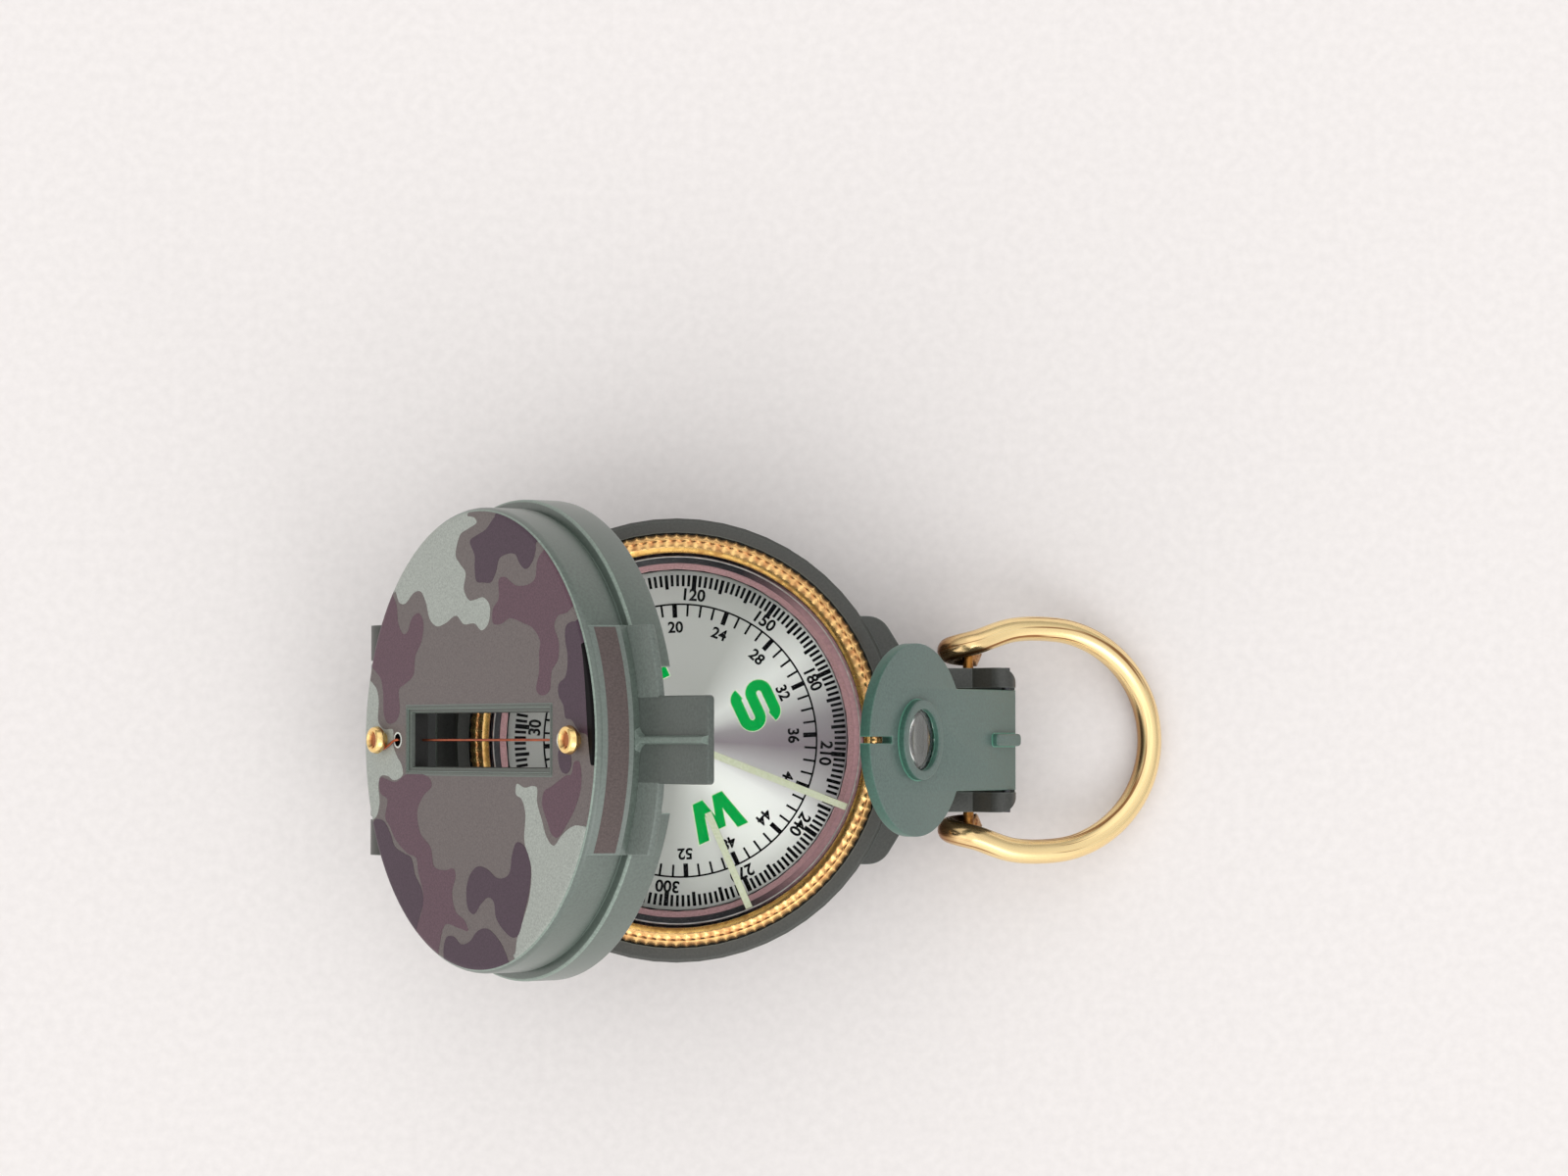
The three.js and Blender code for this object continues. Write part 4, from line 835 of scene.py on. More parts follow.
def make_cover_body():
    """Skirt, groove, cap and face plate, with the window, holes and notch cut out.

    The cutters reach past the walls that they open. Inside faces are painted dark as shade, and rounded edges
    are painted pale as highlights.
    """
    outline = rounded([
        (SKIRT_INSIDE_RADIUS, SKIRT_BOTTOM),
        (SKIRT_RADIUS, SKIRT_BOTTOM, 0.3),
        (SKIRT_RADIUS, SKIRT_TOP, 0.4),
        (GROOVE_RADIUS, SKIRT_TOP),
        (GROOVE_RADIUS, CAP_BOTTOM),
        (CAP_RADIUS, CAP_BOTTOM, 0.12),
        (CAP_RADIUS, FACE_TOP, CAP_EDGE),
        (0.0, FACE_TOP),
        (0.0, PLATE_BOTTOM),
        (CAP_INSIDE_RADIUS, PLATE_BOTTOM, 0.4),
        (CAP_INSIDE_RADIUS, SKIRT_INSIDE_TOP),
        (SKIRT_INSIDE_RADIUS, SKIRT_INSIDE_TOP),
    ])
    body = lathe("cover_body", outline)
    length = WINDOW_HALF_LENGTH + WINDOW_FRAME / 2
    width = WINDOW_HALF_WIDTH + WINDOW_FRAME / 2
    opening = rectangle(WINDOW_CENTRE - length, -width, WINDOW_CENTRE + length, width)
    above, hollow, below = 27.0, 22.0, 14.0
    near, far = 12.0, 29.0
    window = slab("window", [opening], hollow, above)
    notch = slab("notch", [rectangle(near, -NOTCH_HALF, far, NOTCH_HALF)], below, NOTCH_TOP)
    holes = [slab("hole", [circle(WIRE_HOLE_RADIUS, x)], hollow, above) for x in WIRE_HOLES]
    body = carve(body, [window, notch, *holes])
    for face in body.polygons:
        away = Vector((face.center.x, face.center.y, 0.0)).normalized()
        inwards = face.normal.z < -0.5 or face.normal.dot(away) < -0.5
        # Painted shade: inside faces take the dark inside green
        inside = inwards and SKIRT_BOTTOM + 0.1 < face.center.z < PLATE_BOTTOM + 0.1
        # Painted highlight: the cap's rounded edge and the skirt's top edge take a paler green
        cap_highlight = face.center.z > FACE_TOP - CAP_EDGE and 0.7 < face.normal.z < 0.87
        skirt_highlight = SKIRT_TOP - 0.4 < face.center.z < SKIRT_TOP and 0.3 < face.normal.z < 0.95
        face.material_index = 1 if inside else 2 if cap_highlight or skirt_highlight else 0
    on_cover("cover_body", body, COVER_GREEN, INSIDE_SHADE_GREEN, RIM_HIGHLIGHT_GREEN, node="cover_shell")


def reach_angle(y, radius):
    """The angle from +X, in degrees, of a point on a circle at one distance from the middle."""
    return math.degrees(math.asin(y / radius))


def make_cover_tab():
    """The ledge and tab at the free end, the block they grow from, and the rib between."""
    near = TAB_HALF - 0.4
    arms = []
    for side in (-1, 1):
        root = arc(TAB_ROOT_RADIUS, side * reach_angle(near, TAB_ROOT_RADIUS),
                   side * reach_angle(BLOCK_HALF, TAB_ROOT_RADIUS))
        front = arc(LEDGE_RADIUS, side * reach_angle(BLOCK_HALF, LEDGE_RADIUS),
                    side * reach_angle(TAB_HALF, LEDGE_RADIUS))
        plan = [*root, *front, (LEDGE_RADIUS, side * near)]
        arms.append(slab("ledge", [plan], TAB_BOTTOM, TAB_TOP, TAB_EDGE))
    ledge = merged("ledge", arms)
    root_angle = reach_angle(TAB_HALF, TAB_ROOT_RADIUS)
    tab = slab("tab", [rounded([
        *arc(TAB_ROOT_RADIUS, root_angle, -root_angle), (TAB_END, -TAB_HALF, 0.5), (TAB_END, TAB_HALF, 0.5),
    ])], TAB_BOTTOM, TAB_TOP + 0.01, TAB_EDGE)
    steps = 48
    across = [2 * step / steps - 1 for step in range(steps + 1)]
    block = skinned("block", [block_outline(BLOCK_HALF * share) for share in across], closed=False)
    places = [BLOCK_RADIUS + away for away in (-0.6, 0, 0.2, 0.4, 0.6, 0.8, 1, RIB_ROOT)]
    rib = skinned("rib", [rib_section(x) for x in (*places, TAB_END - 0.02)], closed=False)
    for name, mesh, material in (
        ("cover_ledge", ledge, LEDGE_LIT_GREEN),
        ("cover_tab", tab, TAB_GREEN),
        ("cover_block", block, COVER_GREEN),
        ("cover_rib", rib, RIB_HIGHLIGHT_GREEN),
    ):
        on_cover(name, mesh, material, node="cover_shell")
    facet = skinned("facet", [facet_strip(BLOCK_HALF * 0.985 * share) for share in across], closed=False)
    on_cover("cover_facet", facet, FACET_BROWN)


def facet_strip(y):
    """A thin brown skin on the upper part of the block's slope."""
    high = Vector((BLOCK_TOP_RADIUS, BLOCK_TOP))
    low = Vector((BLOCK_RADIUS, TAB_TOP + BLOCK_STEP))
    top, foot = high.lerp(low, 0.22), high.lerp(low, 0.86)
    out = Vector((top.y - foot.y, foot.x - top.x)).normalized()
    corners = [top - out * 0.1, foot - out * 0.1, foot + out * 0.03, top + out * 0.03]
    return [(math.sqrt(point.x ** 2 - y ** 2), y, point.y) for point in corners]


def rib_section(x):
    """The rib's section: wide at its root by the block, slim along the tab."""
    spread = max(0.0, BLOCK_RADIUS + RIB_ROOT - x) / RIB_ROOT
    half = RIB_HALF + 0.9 * spread ** 2
    section = rounded([
        (-half - 0.15, TAB_TOP - 0.3), (half + 0.15, TAB_TOP - 0.3),
        (half * 0.8, TAB_TOP + RIB_HEIGHT, 0.22), (-half * 0.8, TAB_TOP + RIB_HEIGHT, 0.22)])
    return [(x, point[0], point[1]) for point in section]


def make_cover_knuckle():
    """The hinge knuckle and the arm that joins it to the skirt."""
    barrel = circle(KNUCKLE_RADIUS, HINGE.x, HINGE.z, 32)
    bore = circle(KNUCKLE_BORE, HINGE.x, HINGE.z, 24)
    end = 0.6 - SKIRT_INSIDE_RADIUS
    arm = [(HINGE.x, SKIRT_BOTTOM + 0.35), (end, SKIRT_BOTTOM + 0.35), (end, SKIRT_TOP - 0.35),
           (HINGE.x, HINGE.z + KNUCKLE_RADIUS - 0.4)]
    stand = Matrix.Rotation(math.pi / 2, 4, "X")
    barrel = slab("barrel", [barrel, bore[::-1]], -KNUCKLE_HALF, KNUCKLE_HALF, edge=0.3)
    arm = slab("arm", [arm], -KNUCKLE_HALF, KNUCKLE_HALF, edge=0.2)
    mesh = merged("cover_knuckle", [barrel, arm])
    mesh.transform(stand)
    for face in mesh.polygons:
        # Painted shade: the arm's inner faces take the dark inside green
        face.material_index = int(face.normal.x > 0.5 and face.center.x > -CAP_RADIUS)
    on_cover("cover_knuckle", mesh, COVER_GREEN, INSIDE_SHADE_GREEN, node="cover_shell")


def window_ring(name, profile):
    """A ring round the window from a profile of distance from the opening and height."""
    sections = []
    for right, up in ((1, 1), (-1, 1), (-1, -1), (1, -1)):
        sections.append([
            (WINDOW_CENTRE + right * (WINDOW_HALF_LENGTH + out), up * (WINDOW_HALF_WIDTH + out), height)
            for out, height in profile])
    return skinned(name, sections, closed=True)


def make_window_frame():
    """A stepped frame: a dark line outside, then a thin ridge, then a lower ledge round the opening."""
    profile = [(out, FACE_TOP + rise) for out, rise in (
        (0.0, WINDOW_FRAME_FOOT), (0.0, -0.35), (0.12, -0.18), (0.52, -0.14), (0.58, 0.06), (0.64, 0.12),
        (0.78, 0.12), (0.86, 0.04), (0.88, -0.2), (0.98, -0.2), (0.98, WINDOW_FRAME_FOOT),
    )]
    ring = window_ring("window_frame", profile)
    on_cover("cover_window_frame", ring, FRAME_GREEN, node="cover_shell")
    # A dark band on the window's inner walls: painted shade
    profile = [(out, FACE_TOP + rise) for out, rise in (
        (-0.04, -2.35), (0.05, -2.45), (0.05, -0.7), (-0.04, -0.7),
    )]
    shade_lining = window_ring("shade_lining", profile)
    on_cover("cover_window_shade", shade_lining, WINDOW_SHADE)
    # Each wire hole gets a pale rim as a painted highlight and a black inner wall as painted shade
    for index, x in enumerate(WIRE_HOLES):
        for part, inside, outside, low, high, material in (
            ("rim", 0.0, 0.2, FACE_TOP - 0.2, FACE_TOP + 0.05, HOLE_RIM_HIGHLIGHT),
            ("shade_sleeve", -0.04, 0.02, PLATE_BOTTOM, FACE_TOP, SHADOW_BLACK),
        ):
            outline = rectangle(WIRE_HOLE_RADIUS + inside, low, WIRE_HOLE_RADIUS + outside, high, 0.02)
            mesh = lathe(part, outline, 36, x)
            on_cover(f"wire_hole_{part}_{index + 1}", mesh, material)


def edge_point(angle, tilt, lift):
    """A point on the cap's rounded edge, lifted off it a little."""
    reach = CAP_RADIUS - CAP_EDGE + (CAP_EDGE + lift) * math.sin(math.radians(tilt))
    height = FACE_TOP - CAP_EDGE + (CAP_EDGE + lift) * math.cos(math.radians(tilt))
    return (reach * math.cos(angle), reach * math.sin(angle), height)


def edge_strip(name, angles, lift):
    """A thin skin on the rounded edge, along a row of angles."""
    tilts = [PRINT_ANGLE * step / 5 for step in range(6)]
    sections = []
    for angle in angles:
        outer = [edge_point(angle, tilt, lift) for tilt in tilts]
        inner = [edge_point(angle, tilt, -0.03) for tilt in reversed(tilts)]
        sections.append(outer + inner)
    return skinned(name, sections, closed=False)


def patch(name, outline, material, lift):
    """A patch on the face, carried over the rounded edge where it reaches the rim: a camouflage print, and
    also the painted shadow at the edge.
    """
    points = []
    for place in smooth_loop([(x + FACE_SHIFT, y, 0.0) for x, y in outline]):
        reach = math.hypot(place.x, place.y)
        share = min(1.0, FACE_RADIUS / reach)
        points.append((place.x * share, place.y * share, reach >= FACE_RADIUS))
    meshes = [sheet(name, [point[:2] for point in points], FACE_TOP - 0.02, FACE_TOP + lift)]
    start = next((index for index, point in enumerate(points) if not point[2]), 0)
    run = []
    for point in points[start:] + points[:start + 1]:
        if point[2]:
            run.append(math.atan2(point[1], point[0]))
            continue
        if len(run) > 1:
            meshes.append(edge_strip(name, run, lift))
        run = []
    on_cover(name, merged(name, meshes), material)


SAGE_PATCHES = [
    [(-21.5, 18.6), (-19.9, 17.4), (-19, 16.1), (-17.6, 15.9), (-15.5, 17.1), (-13.8, 17.2),
     (-12.6, 15.9), (-11.7, 14), (-10.1, 13.1), (-8, 13.4), (-5.5, 14.2), (-3.8, 13.2), (-1.3, 13.2),
     (0.3, 12.4), (1.8, 13.2), (2.1, 15.1), (0.7, 16.1), (-1.3, 15.9), (-2.6, 15.9), (-3.8, 17.2),
     (-3.4, 19), (-4.7, 20.1), (-5.7, 21.1), (-4.7, 23.4), (-3, 24), (-0.9, 24.7), (-1.4, 25.2),
     (-4, 25.6), (-8, 26.4), (-13, 24.6), (-18, 21.6)],
    [(-27.6, 7.2), (-24.5, 6.1), (-23.9, 4.7), (-24, 2.2), (-22.6, 1.3), (-20.4, 1.2), (-20.3, 0.4),
     (-20.3, -0.6), (-19.4, -1.9), (-18.3, -2.9), (-18, -4), (-20.1, -4.7), (-21.7, -4.2),
     (-23.4, -4.3), (-23.9, -5.3), (-23.6, -7.4), (-24.5, -9.1), (-27, -9.3), (-28.4, -4), (-28.6, 2)],
    [(8.2, -4.9), (9.9, -5.3), (11.6, -5.1), (12.6, -5.3), (12.6, -6.8), (13.7, -8.9), (14.7, -10.7),
     (16.2, -11.6), (17.8, -10.5), (19.9, -9.5), (21.6, -9.3), (24.3, -10.2), (23.4, -15), (20, -20),
     (14, -24.6), (8.6, -26.4), (8.2, -22.6), (9.7, -19.9), (11, -17.4), (11.4, -14.1), (9.9, -11.2),
     (10.1, -8.2), (9.3, -6.6), (8, -6)],
]
PLUM_PATCHES = [
    [(-21.6, 17.4), (-24.6, 13.6), (-26.4, 9.4), (-24.5, 8), (-23.4, 7.2), (-22.8, 5.5), (-22.6, 3),
     (-21.7, 2), (-19.7, 2.2), (-18.8, 3.4), (-19, 5.9), (-17.6, 6.5), (-15.5, 7.6), (-15.1, 9.7),
     (-13.6, 11.5), (-13.2, 13.6), (-14.2, 14.7), (-15.9, 14.2), (-17, 12.6), (-18, 12.4),
     (-19.2, 13.6), (-19.7, 15.9)],
    [(12.6, 19.9), (14.4, 21), (18, 18.4), (20.6, 15.3), (19.1, 14), (17, 13.6), (16.2, 12.6),
     (17.2, 10.7), (17, 8.8), (15.7, 7.6), (15.3, 5.5), (13.7, 4.9), (12.4, 5.5), (13, 7.6), (13, 9.7),
     (13.2, 10.9), (11.6, 12.4), (9.5, 13), (6.6, 13.6), (4.5, 13), (2.8, 13.2), (2.8, 14.7),
     (4.1, 15.9), (4.1, 18), (5.3, 18.3), (8.2, 17.2), (12, 17.8)],
    [(-23.6, -4.5), (-19.7, -4.9), (-17.2, -4), (-13.8, -3.9), (-11.5, -4.5), (-11.1, -5.3),
     (-13, -6.4), (-14.5, -8.2), (-13.8, -10.7), (-11.3, -12.4), (-10.5, -14.5), (-8, -14.9),
     (-5.9, -14.7), (-5.5, -15.5), (-6.3, -17.4), (-5.5, -19.5), (-3.4, -20.5), (-2.6, -21.6),
     (-4.7, -21.4), (-8, -21.2), (-10.3, -25.4), (-15.2, -23.4), (-13.2, -19.5), (-13, -17.8),
     (-14.2, -15.3), (-14.7, -13.7), (-16.7, -13.2), (-19.7, -11.6), (-21.1, -10.1), (-22.2, -9.1),
     (-21.7, -7), (-23.4, -6.2)],
    [(18.7, -3.9), (19.9, -3.7), (20.5, -2.4), (21.6, -2.4), (22, -4.9), (20.7, -7.4), (19.1, -9.1),
     (17, -10.7), (15.7, -10.3), (14.9, -9.1), (13.7, -7), (14.1, -5.7), (15.7, -5.1)],
]
DARK_PATCHES = [
    [(-2.4, 22.6), (-0.9, 23.2), (1.2, 23.8), (2.8, 24.9), (5.3, 26.2), (8.2, 25.8), (11.4, 23.8),
     (12.2, 21.3), (11.6, 19.9), (10.1, 19), (8.7, 19.7), (7.8, 20.7), (5.7, 20.8), (4.1, 20.3),
     (3.5, 19), (2.4, 17.8), (0.7, 17.8), (-0.9, 18), (-1.3, 19.5), (-1.3, 20.9)],
    [(18.7, 12.4), (19.9, 12.9), (22.6, 12.6), (24, 9.7), (25.2, 6.3), (25.6, 3), (25.4, 0.6),
     (24.6, -1.8), (23.2, 0.5), (21.6, 0.9), (19.9, 2.2), (18.7, 2.4), (18.2, 3.8), (17.2, 4.9),
     (17.2, 6.1), (18.7, 7), (19.1, 9.2), (18.6, 10.9)],
    [(17.2, -1.2), (19.5, -1.2), (19.9, -2.8), (18.9, -3.7), (17.6, -3.2)],
    [(-25, -9.6), (-22.6, -9.5), (-20.9, -11), (-19.9, -12.4), (-17.6, -13.2), (-15.9, -13.7),
     (-14.9, -15.7), (-13.4, -17.2), (-13, -18.7), (-13.8, -20.3), (-15.6, -23), (-20.6, -18.8),
     (-24, -14.4)],
    [(-3, -17), (-2.2, -15.3), (-0.5, -14.3), (1.6, -14.5), (4.1, -15.5), (6.6, -14.9), (7.2, -12.8),
     (8.2, -11.4), (9.9, -11.8), (11.2, -13.7), (11, -16.6), (9.9, -19.1), (8.7, -21.6), (7.4, -22),
     (5.3, -21.2), (3.7, -19.9), (3.2, -18.2), (2, -17.7), (0.3, -18.5), (-1.3, -19.7), (-2.6, -19.1)],
    [(-8.2, -24.6), (-7.6, -22.6), (-5.9, -22.4), (-4.2, -23.2), (-2.2, -22.8), (-0.5, -21.6),
     (1.6, -21.2), (3.7, -22), (5.3, -23.2), (6.4, -25), (3, -26.4), (-2, -26.8), (-6, -26.6)],
]


def make_camouflage():
    """The printed face: a brown ground, then patches of three colours, then a dark crescent at the edge as a
    painted shadow.
    """
    length = WINDOW_HALF_LENGTH + WINDOW_FRAME
    width = WINDOW_HALF_WIDTH + WINDOW_FRAME
    holes = [circle(WIRE_HOLE_RADIUS, x, steps=24)[::-1] for x in WIRE_HOLES]
    gap = rectangle(WINDOW_CENTRE - length, -width, WINDOW_CENTRE + length, width)[::-1]
    disc = slab("ground", [circle(FACE_RADIUS, steps=180), gap, *holes], FACE_TOP - 0.03, FACE_TOP + LAYER)
    around = [2 * math.pi * step / 180 for step in range(181)]
    strip = edge_strip("ground_edge", around, LAYER)
    on_cover("face_ground", merged("face_ground", [disc, strip]), FACE_BROWN)
    for kind, material, outlines, layer in (
        ("sage", SAGE, SAGE_PATCHES, 2),
        ("plum", PLUM, PLUM_PATCHES, 3),
        ("dark", DARK, DARK_PATCHES, 4),
    ):
        for index, outline in enumerate(outlines):
            patch(f"camouflage_{kind}_{index + 1}", outline, material, layer * LAYER)
    # Painted shadow: a black crescent along the face's edge at the free end
    inner, outer = [], []
    for step in range(25):
        angle = math.radians(CRESCENT_START + CRESCENT_SPAN * step / 24)
        depth = CRESCENT_DEPTH * math.sin(math.pi * (step / 24) ** 0.75)
        for row, reach in ((inner, FACE_RADIUS - 0.02 - depth), (outer, FACE_RADIUS + 0.3)):
            row.append((reach * math.cos(angle) - FACE_SHIFT, reach * math.sin(angle)))
    patch("camouflage_rim_shadow", outer + inner[::-1], SHADOW_BLACK, 5 * LAYER)


def make_stud(node, x):
    """A turned brass stud with a dished head and a groove under it for the wire."""
    neck = FACE_TOP + STUD_NECK_HEIGHT
    top = neck + STUD_HEIGHT
    outline = rounded([
        (0.0, FACE_TOP + 0.02), (STUD_NECK_RADIUS, FACE_TOP + 0.02), (STUD_NECK_RADIUS, neck),
        (STUD_RADIUS * 0.85, neck + 0.08, 0.1), (STUD_RADIUS, neck + 0.45, 0.3),
        (STUD_RADIUS * 0.88, top - 0.12, 0.3), (STUD_RADIUS * 0.68, top, 0.16),
        (STUD_RADIUS * 0.42, top - 0.46, 0.2), (0.0, top - 0.5),
    ])
    mesh = lathe(node, outline, 48, x)
    dish = STUD_RADIUS * 0.52
    reaches = [math.hypot(corner.co.x - x, corner.co.y) for corner in mesh.vertices]
    keep(mesh, "hollow", "FLOAT", [
        0.85 if reach < dish and corner.co.z > neck + 0.5 else 0.0
        for reach, corner in zip(reaches, mesh.vertices)])
    placed(node + "_look", mesh, COVER, "cover", "gold_brass", STUD_GOLD, node=node)


def make_bezel():
    """The knurled ring: flutes with sharp ridges outside, a row of dimples, and a polished slope inside.

    Each row has a radius, a height and how far it is stained.
    """
    steps = 10
    columns = TEETH * steps
    sections, hollows = [], []
    for column in range(columns):
        angle = 2 * math.pi * column / columns
        dip = 1 - (2 * (column % steps) / steps - 1) ** 2
        scoop = dip ** 2
        rows = [
            (BEZEL_RADIUS - 0.16 * dip, BEZEL_BOTTOM, 0.4),
            (BEZEL_RADIUS - 0.16 * dip, 15.3, 0.2 * dip),
            (25.04 - 0.2 * dip, 15.65, 0.3 * dip),
            (24.86 - 0.22 * dip, 15.98, 0.25 * dip),
            (24.62 - 0.12 * dip, 16.24 - 0.05 * dip, 0.1 * dip),
            (24.42 - 0.05 * dip, 16.4, 0.0),
            (24.3, 16.43, 0.3),
            (24.24 - 0.06 * dip, 16.42 - 0.12 * scoop, 0.4 + 0.3 * scoop),
            (24.06, 16.42 - 0.16 * scoop, 0.6 * scoop),
            (23.84, 16.46 - 0.12 * scoop, 0.4 * scoop),
            (23.62, 16.54 - 0.05 * scoop, 0.25 * scoop),
            (23.5, BEZEL_TOP, 0.1),
            (23.34, 16.54, 0.0),
            (23.06, 16.36, 0.0),
            (BEZEL_OPENING + 0.05, 16.1, 0.15),
            (BEZEL_OPENING, 16.0, 0.6),
            (BEZEL_OPENING, BEZEL_SEAT_TOP, 1.0),
            (BEZEL_SEAT, BEZEL_SEAT_TOP, 1.0),
            (BEZEL_SEAT, BEZEL_BOTTOM, 1.0),
        ]
        sections.append([(r * math.cos(angle), r * math.sin(angle), z) for r, z, _ in rows])
        hollows += [hollow for _, _, hollow in rows]
    mesh = skinned("bezel", sections, closed=True, weld=1e-6)
    keep(mesh, "hollow", "FLOAT", hollows)
    for face in mesh.polygons:
        reach = math.hypot(*face.center.xy)
        face.material_index = int(reach < BEZEL_SLOPE and face.center.z > BEZEL_SLOPE_BOTTOM)
    golds = BEZEL_GOLD, SLOPE_GOLD
    placed("bezel_knurled", mesh, HERE, "bezel", "gold_brass", *golds, sharp=50, node="bezel_ring")


def box_at(length, width, height, matrix):
    """A thin printed bar from the origin along X."""
    bar = slab("bar", [rectangle(0, -width / 2, length, width / 2)], 0, height)
    bar.transform(matrix)
    return bar


def stroke(points, width):
    """The outline of a broad pen stroke along a row of points."""
    path = [Vector(point) for point in points]
    sides = ([], [])
    for index, here in enumerate(path):
        before = (here - path[index - 1]).normalized() if index else None
        after = (path[index + 1] - here).normalized() if index + 1 < len(path) else None
        along = ((before or after) + (after or before)).normalized()
        normal = Vector((-along.y, along.x))
        reach = width / 2 / max(0.5, along.dot(after or before))
        sides[0].append(here + normal * reach)
        sides[1].append(here - normal * reach)
    return sides[0] + sides[1][::-1]


LETTERS = {
    "N": [(-2.2, -2.2), (-2.2, 2.2), (-1, 2.2), (1, -0.6), (1, 2.2), (2.2, 2.2),
          (2.2, -2.2), (1, -2.2), (-1, 0.6), (-1, -2.2)],
    "E": [(-2, -2.2), (-2, 2.2), (2, 2.2), (2, 1), (-0.8, 1), (-0.8, 0.6), (1.6, 0.6),
          (1.6, -0.6), (-0.8, -0.6), (-0.8, -1), (2, -1), (2, -2.2)],
    "S": stroke([*arc(0.75, 10, 90, 1.15, 1.05, 6), *arc(0.9, 90, 270, -1.1, 0.9, 10),
                 *arc(0.9, 90, -90, 1.1, -0.9, 10), *arc(0.75, 270, 190, -1.15, -1.05, 6)], 1.2),
    "W": [(-3, 2.2), (-1.75, 2.2), (-1.1, -0.5), (-0.6, 1.5), (0.6, 1.5), (1.1, -0.5), (1.75, 2.2), (3, 2.2),
          (1.8, -2.2), (0.6, -2.2), (0, 0), (-0.6, -2.2), (-1.8, -2.2)],
}


def lettering(text, size):
    curve = bpy.data.curves.new("label", "FONT")
    curve.body = text
    curve.size = size
    curve.align_x = "CENTER"
    curve.align_y = "CENTER"
    curve.extrude = PRINT / 2
    curve.offset = 0.03 * size
    return drawn("label", curve)


def on_dial(value, radius):
    """The place on the dial at a reading and a distance from the print's centre, with X pointing outwards."""
    spin = Matrix.Rotation(math.radians(DIAL_ZERO - value), 4, "Z")
    return Matrix.Translation((*PRINT_SHIFT, DIAL_LEVEL)) @ spin @ Matrix.Translation((radius, 0, 0))


def make_dial_print():
    """Degree and mil scales with their numbers, and four green letters with pale edges."""
    black = []
    for count, radius, ticks, _ in SCALES:
        for value in range(0, count, ticks[-1][0]):
            length, width = next(size for every, *size in ticks if value % every == 0)
            black.append(box_at(length, width, PRINT, on_dial(value * 360 / count, radius - length)))
    black.append(slab("mil_circle", [
        circle(MIL_RADIUS + 0.1, *PRINT_SHIFT, 180), circle(MIL_RADIUS - 0.12, *PRINT_SHIFT, 180)[::-1],
    ], DIAL_LEVEL, DIAL_LEVEL + PRINT))
    outwards = Matrix.Rotation(-math.pi / 2, 4, "Z")
    for count, _, _, (every, size, radius) in SCALES:
        for value in range(0, count, every):
            label = lettering(str(value), size)
            label.transform(on_dial(value * 360 / count, radius) @ outwards)
            black.append(label)
    placed("dial_scales", merged("dial_scales", black), HERE, "dial", "dial_aluminium", BLACK_INK)
    enlarged = Matrix.Diagonal((LETTER_SCALE, LETTER_SCALE, 1.0, 1.0))
    for name, thickness, grow, material in (
        ("dial_letter_edges", PRINT / 2, LETTER_EDGE, HALO_INK),
        ("dial_letters", PRINT, 0.0, GREEN_INK),
    ):
        letters = []
        for value, letter in ((0, "N"), (90, "E"), (180, "S"), (270, "W")):
            mesh = slab("letter", [LETTERS[letter]], 0, thickness, grow=grow)
            mesh.transform(on_dial(value, LETTER_RADIUS) @ outwards @ enlarged)
            letters.append(mesh)
        placed(name, merged(name, letters), HERE, "dial", "dial_aluminium", material)


def make_inner_pieces():
    """Pieces that show as the CAD has them, and pieces that only need rounded edges."""
    for node, material in (
        ("capsule_cup", CAPSULE),
        ("pivot_needle", STEEL),
        ("bezel_click_spring", STEEL),
        ("cover_hinge_pin", STEEL),
        ("bracket_hinge_pin", MAGNET),
        ("ring_pivot_pin", PIN_GOLD),
        ("dial_magnet", MAGNET),
        ("lens_retainer", BLACK),
    ):
        dressed(node, material)
    for node, edge, body, slot, material in (
        ("capsule_seal", 0.08, "base", "seal_rubber", LIT_SEAL_MAUVE),
        ("capsule_crystal", 0.1, "base", "crystal_glass", GLASS),
        ("dial_card", 0.1, "dial", "dial_aluminium", SILVER),
        ("jewel_bearing", 0.12, "dial", "jewel", JEWEL),
        ("bezel_glass", 0.1, "bezel", "crystal_glass", GLASS),
        ("marching_line_long", 0.05, "bezel", "luminous_paint", PAINT),
        ("marching_line_short", 0.05, "bezel", "luminous_paint", PAINT),
    ):
        softened(node, edge, body, slot, material)


def make_retainer():
    """The ring over the crystal, black with painted shade, with a thin bright line round its top as a painted
    highlight, and a mauve lip inside.
    """
    start, end = RETAINER_GLINT_LINE
    ring = lathe("retainer", rounded([
        (RETAINER_INSIDE, RETAINER_BOTTOM), (RETAINER_RADIUS, RETAINER_BOTTOM),
        (RETAINER_RADIUS, RETAINER_TOP, 0.1), (end, RETAINER_TOP), (end, RETAINER_TOP - 0.1),
        (start, RETAINER_TOP - 0.1), (start, RETAINER_TOP), (RETAINER_INSIDE, RETAINER_TOP - 0.25, 0.2)]))
    placed("retainer_ring", ring, HERE, "base", "black_plastic", SHADED, node="capsule_retainer")
    # Painted highlight: a bright ring standing for the glint of the glass edges
    line = lathe("line", rounded([
        (start + 0.01, RETAINER_TOP - 0.12), (end - 0.01, RETAINER_TOP - 0.12),
        (end - 0.01, RETAINER_TOP, 0.08), (start + 0.01, RETAINER_TOP, 0.08)]))
    placed("retainer_glint_line", line, HERE, "base", "steel", RETAINER_GLINT)
    lip = lathe("lip", [
        (LIP_INSIDE, RETAINER_BOTTOM + 0.02), (RETAINER_INSIDE + 0.03, RETAINER_BOTTOM + 0.02),
        (RETAINER_INSIDE + 0.03, RETAINER_BOTTOM + 0.22), (LIP_INSIDE + 0.05, RETAINER_BOTTOM + 0.12)])
    placed("retainer_lip", lip, HERE, "base", "seal_rubber", LIP_MAUVE)


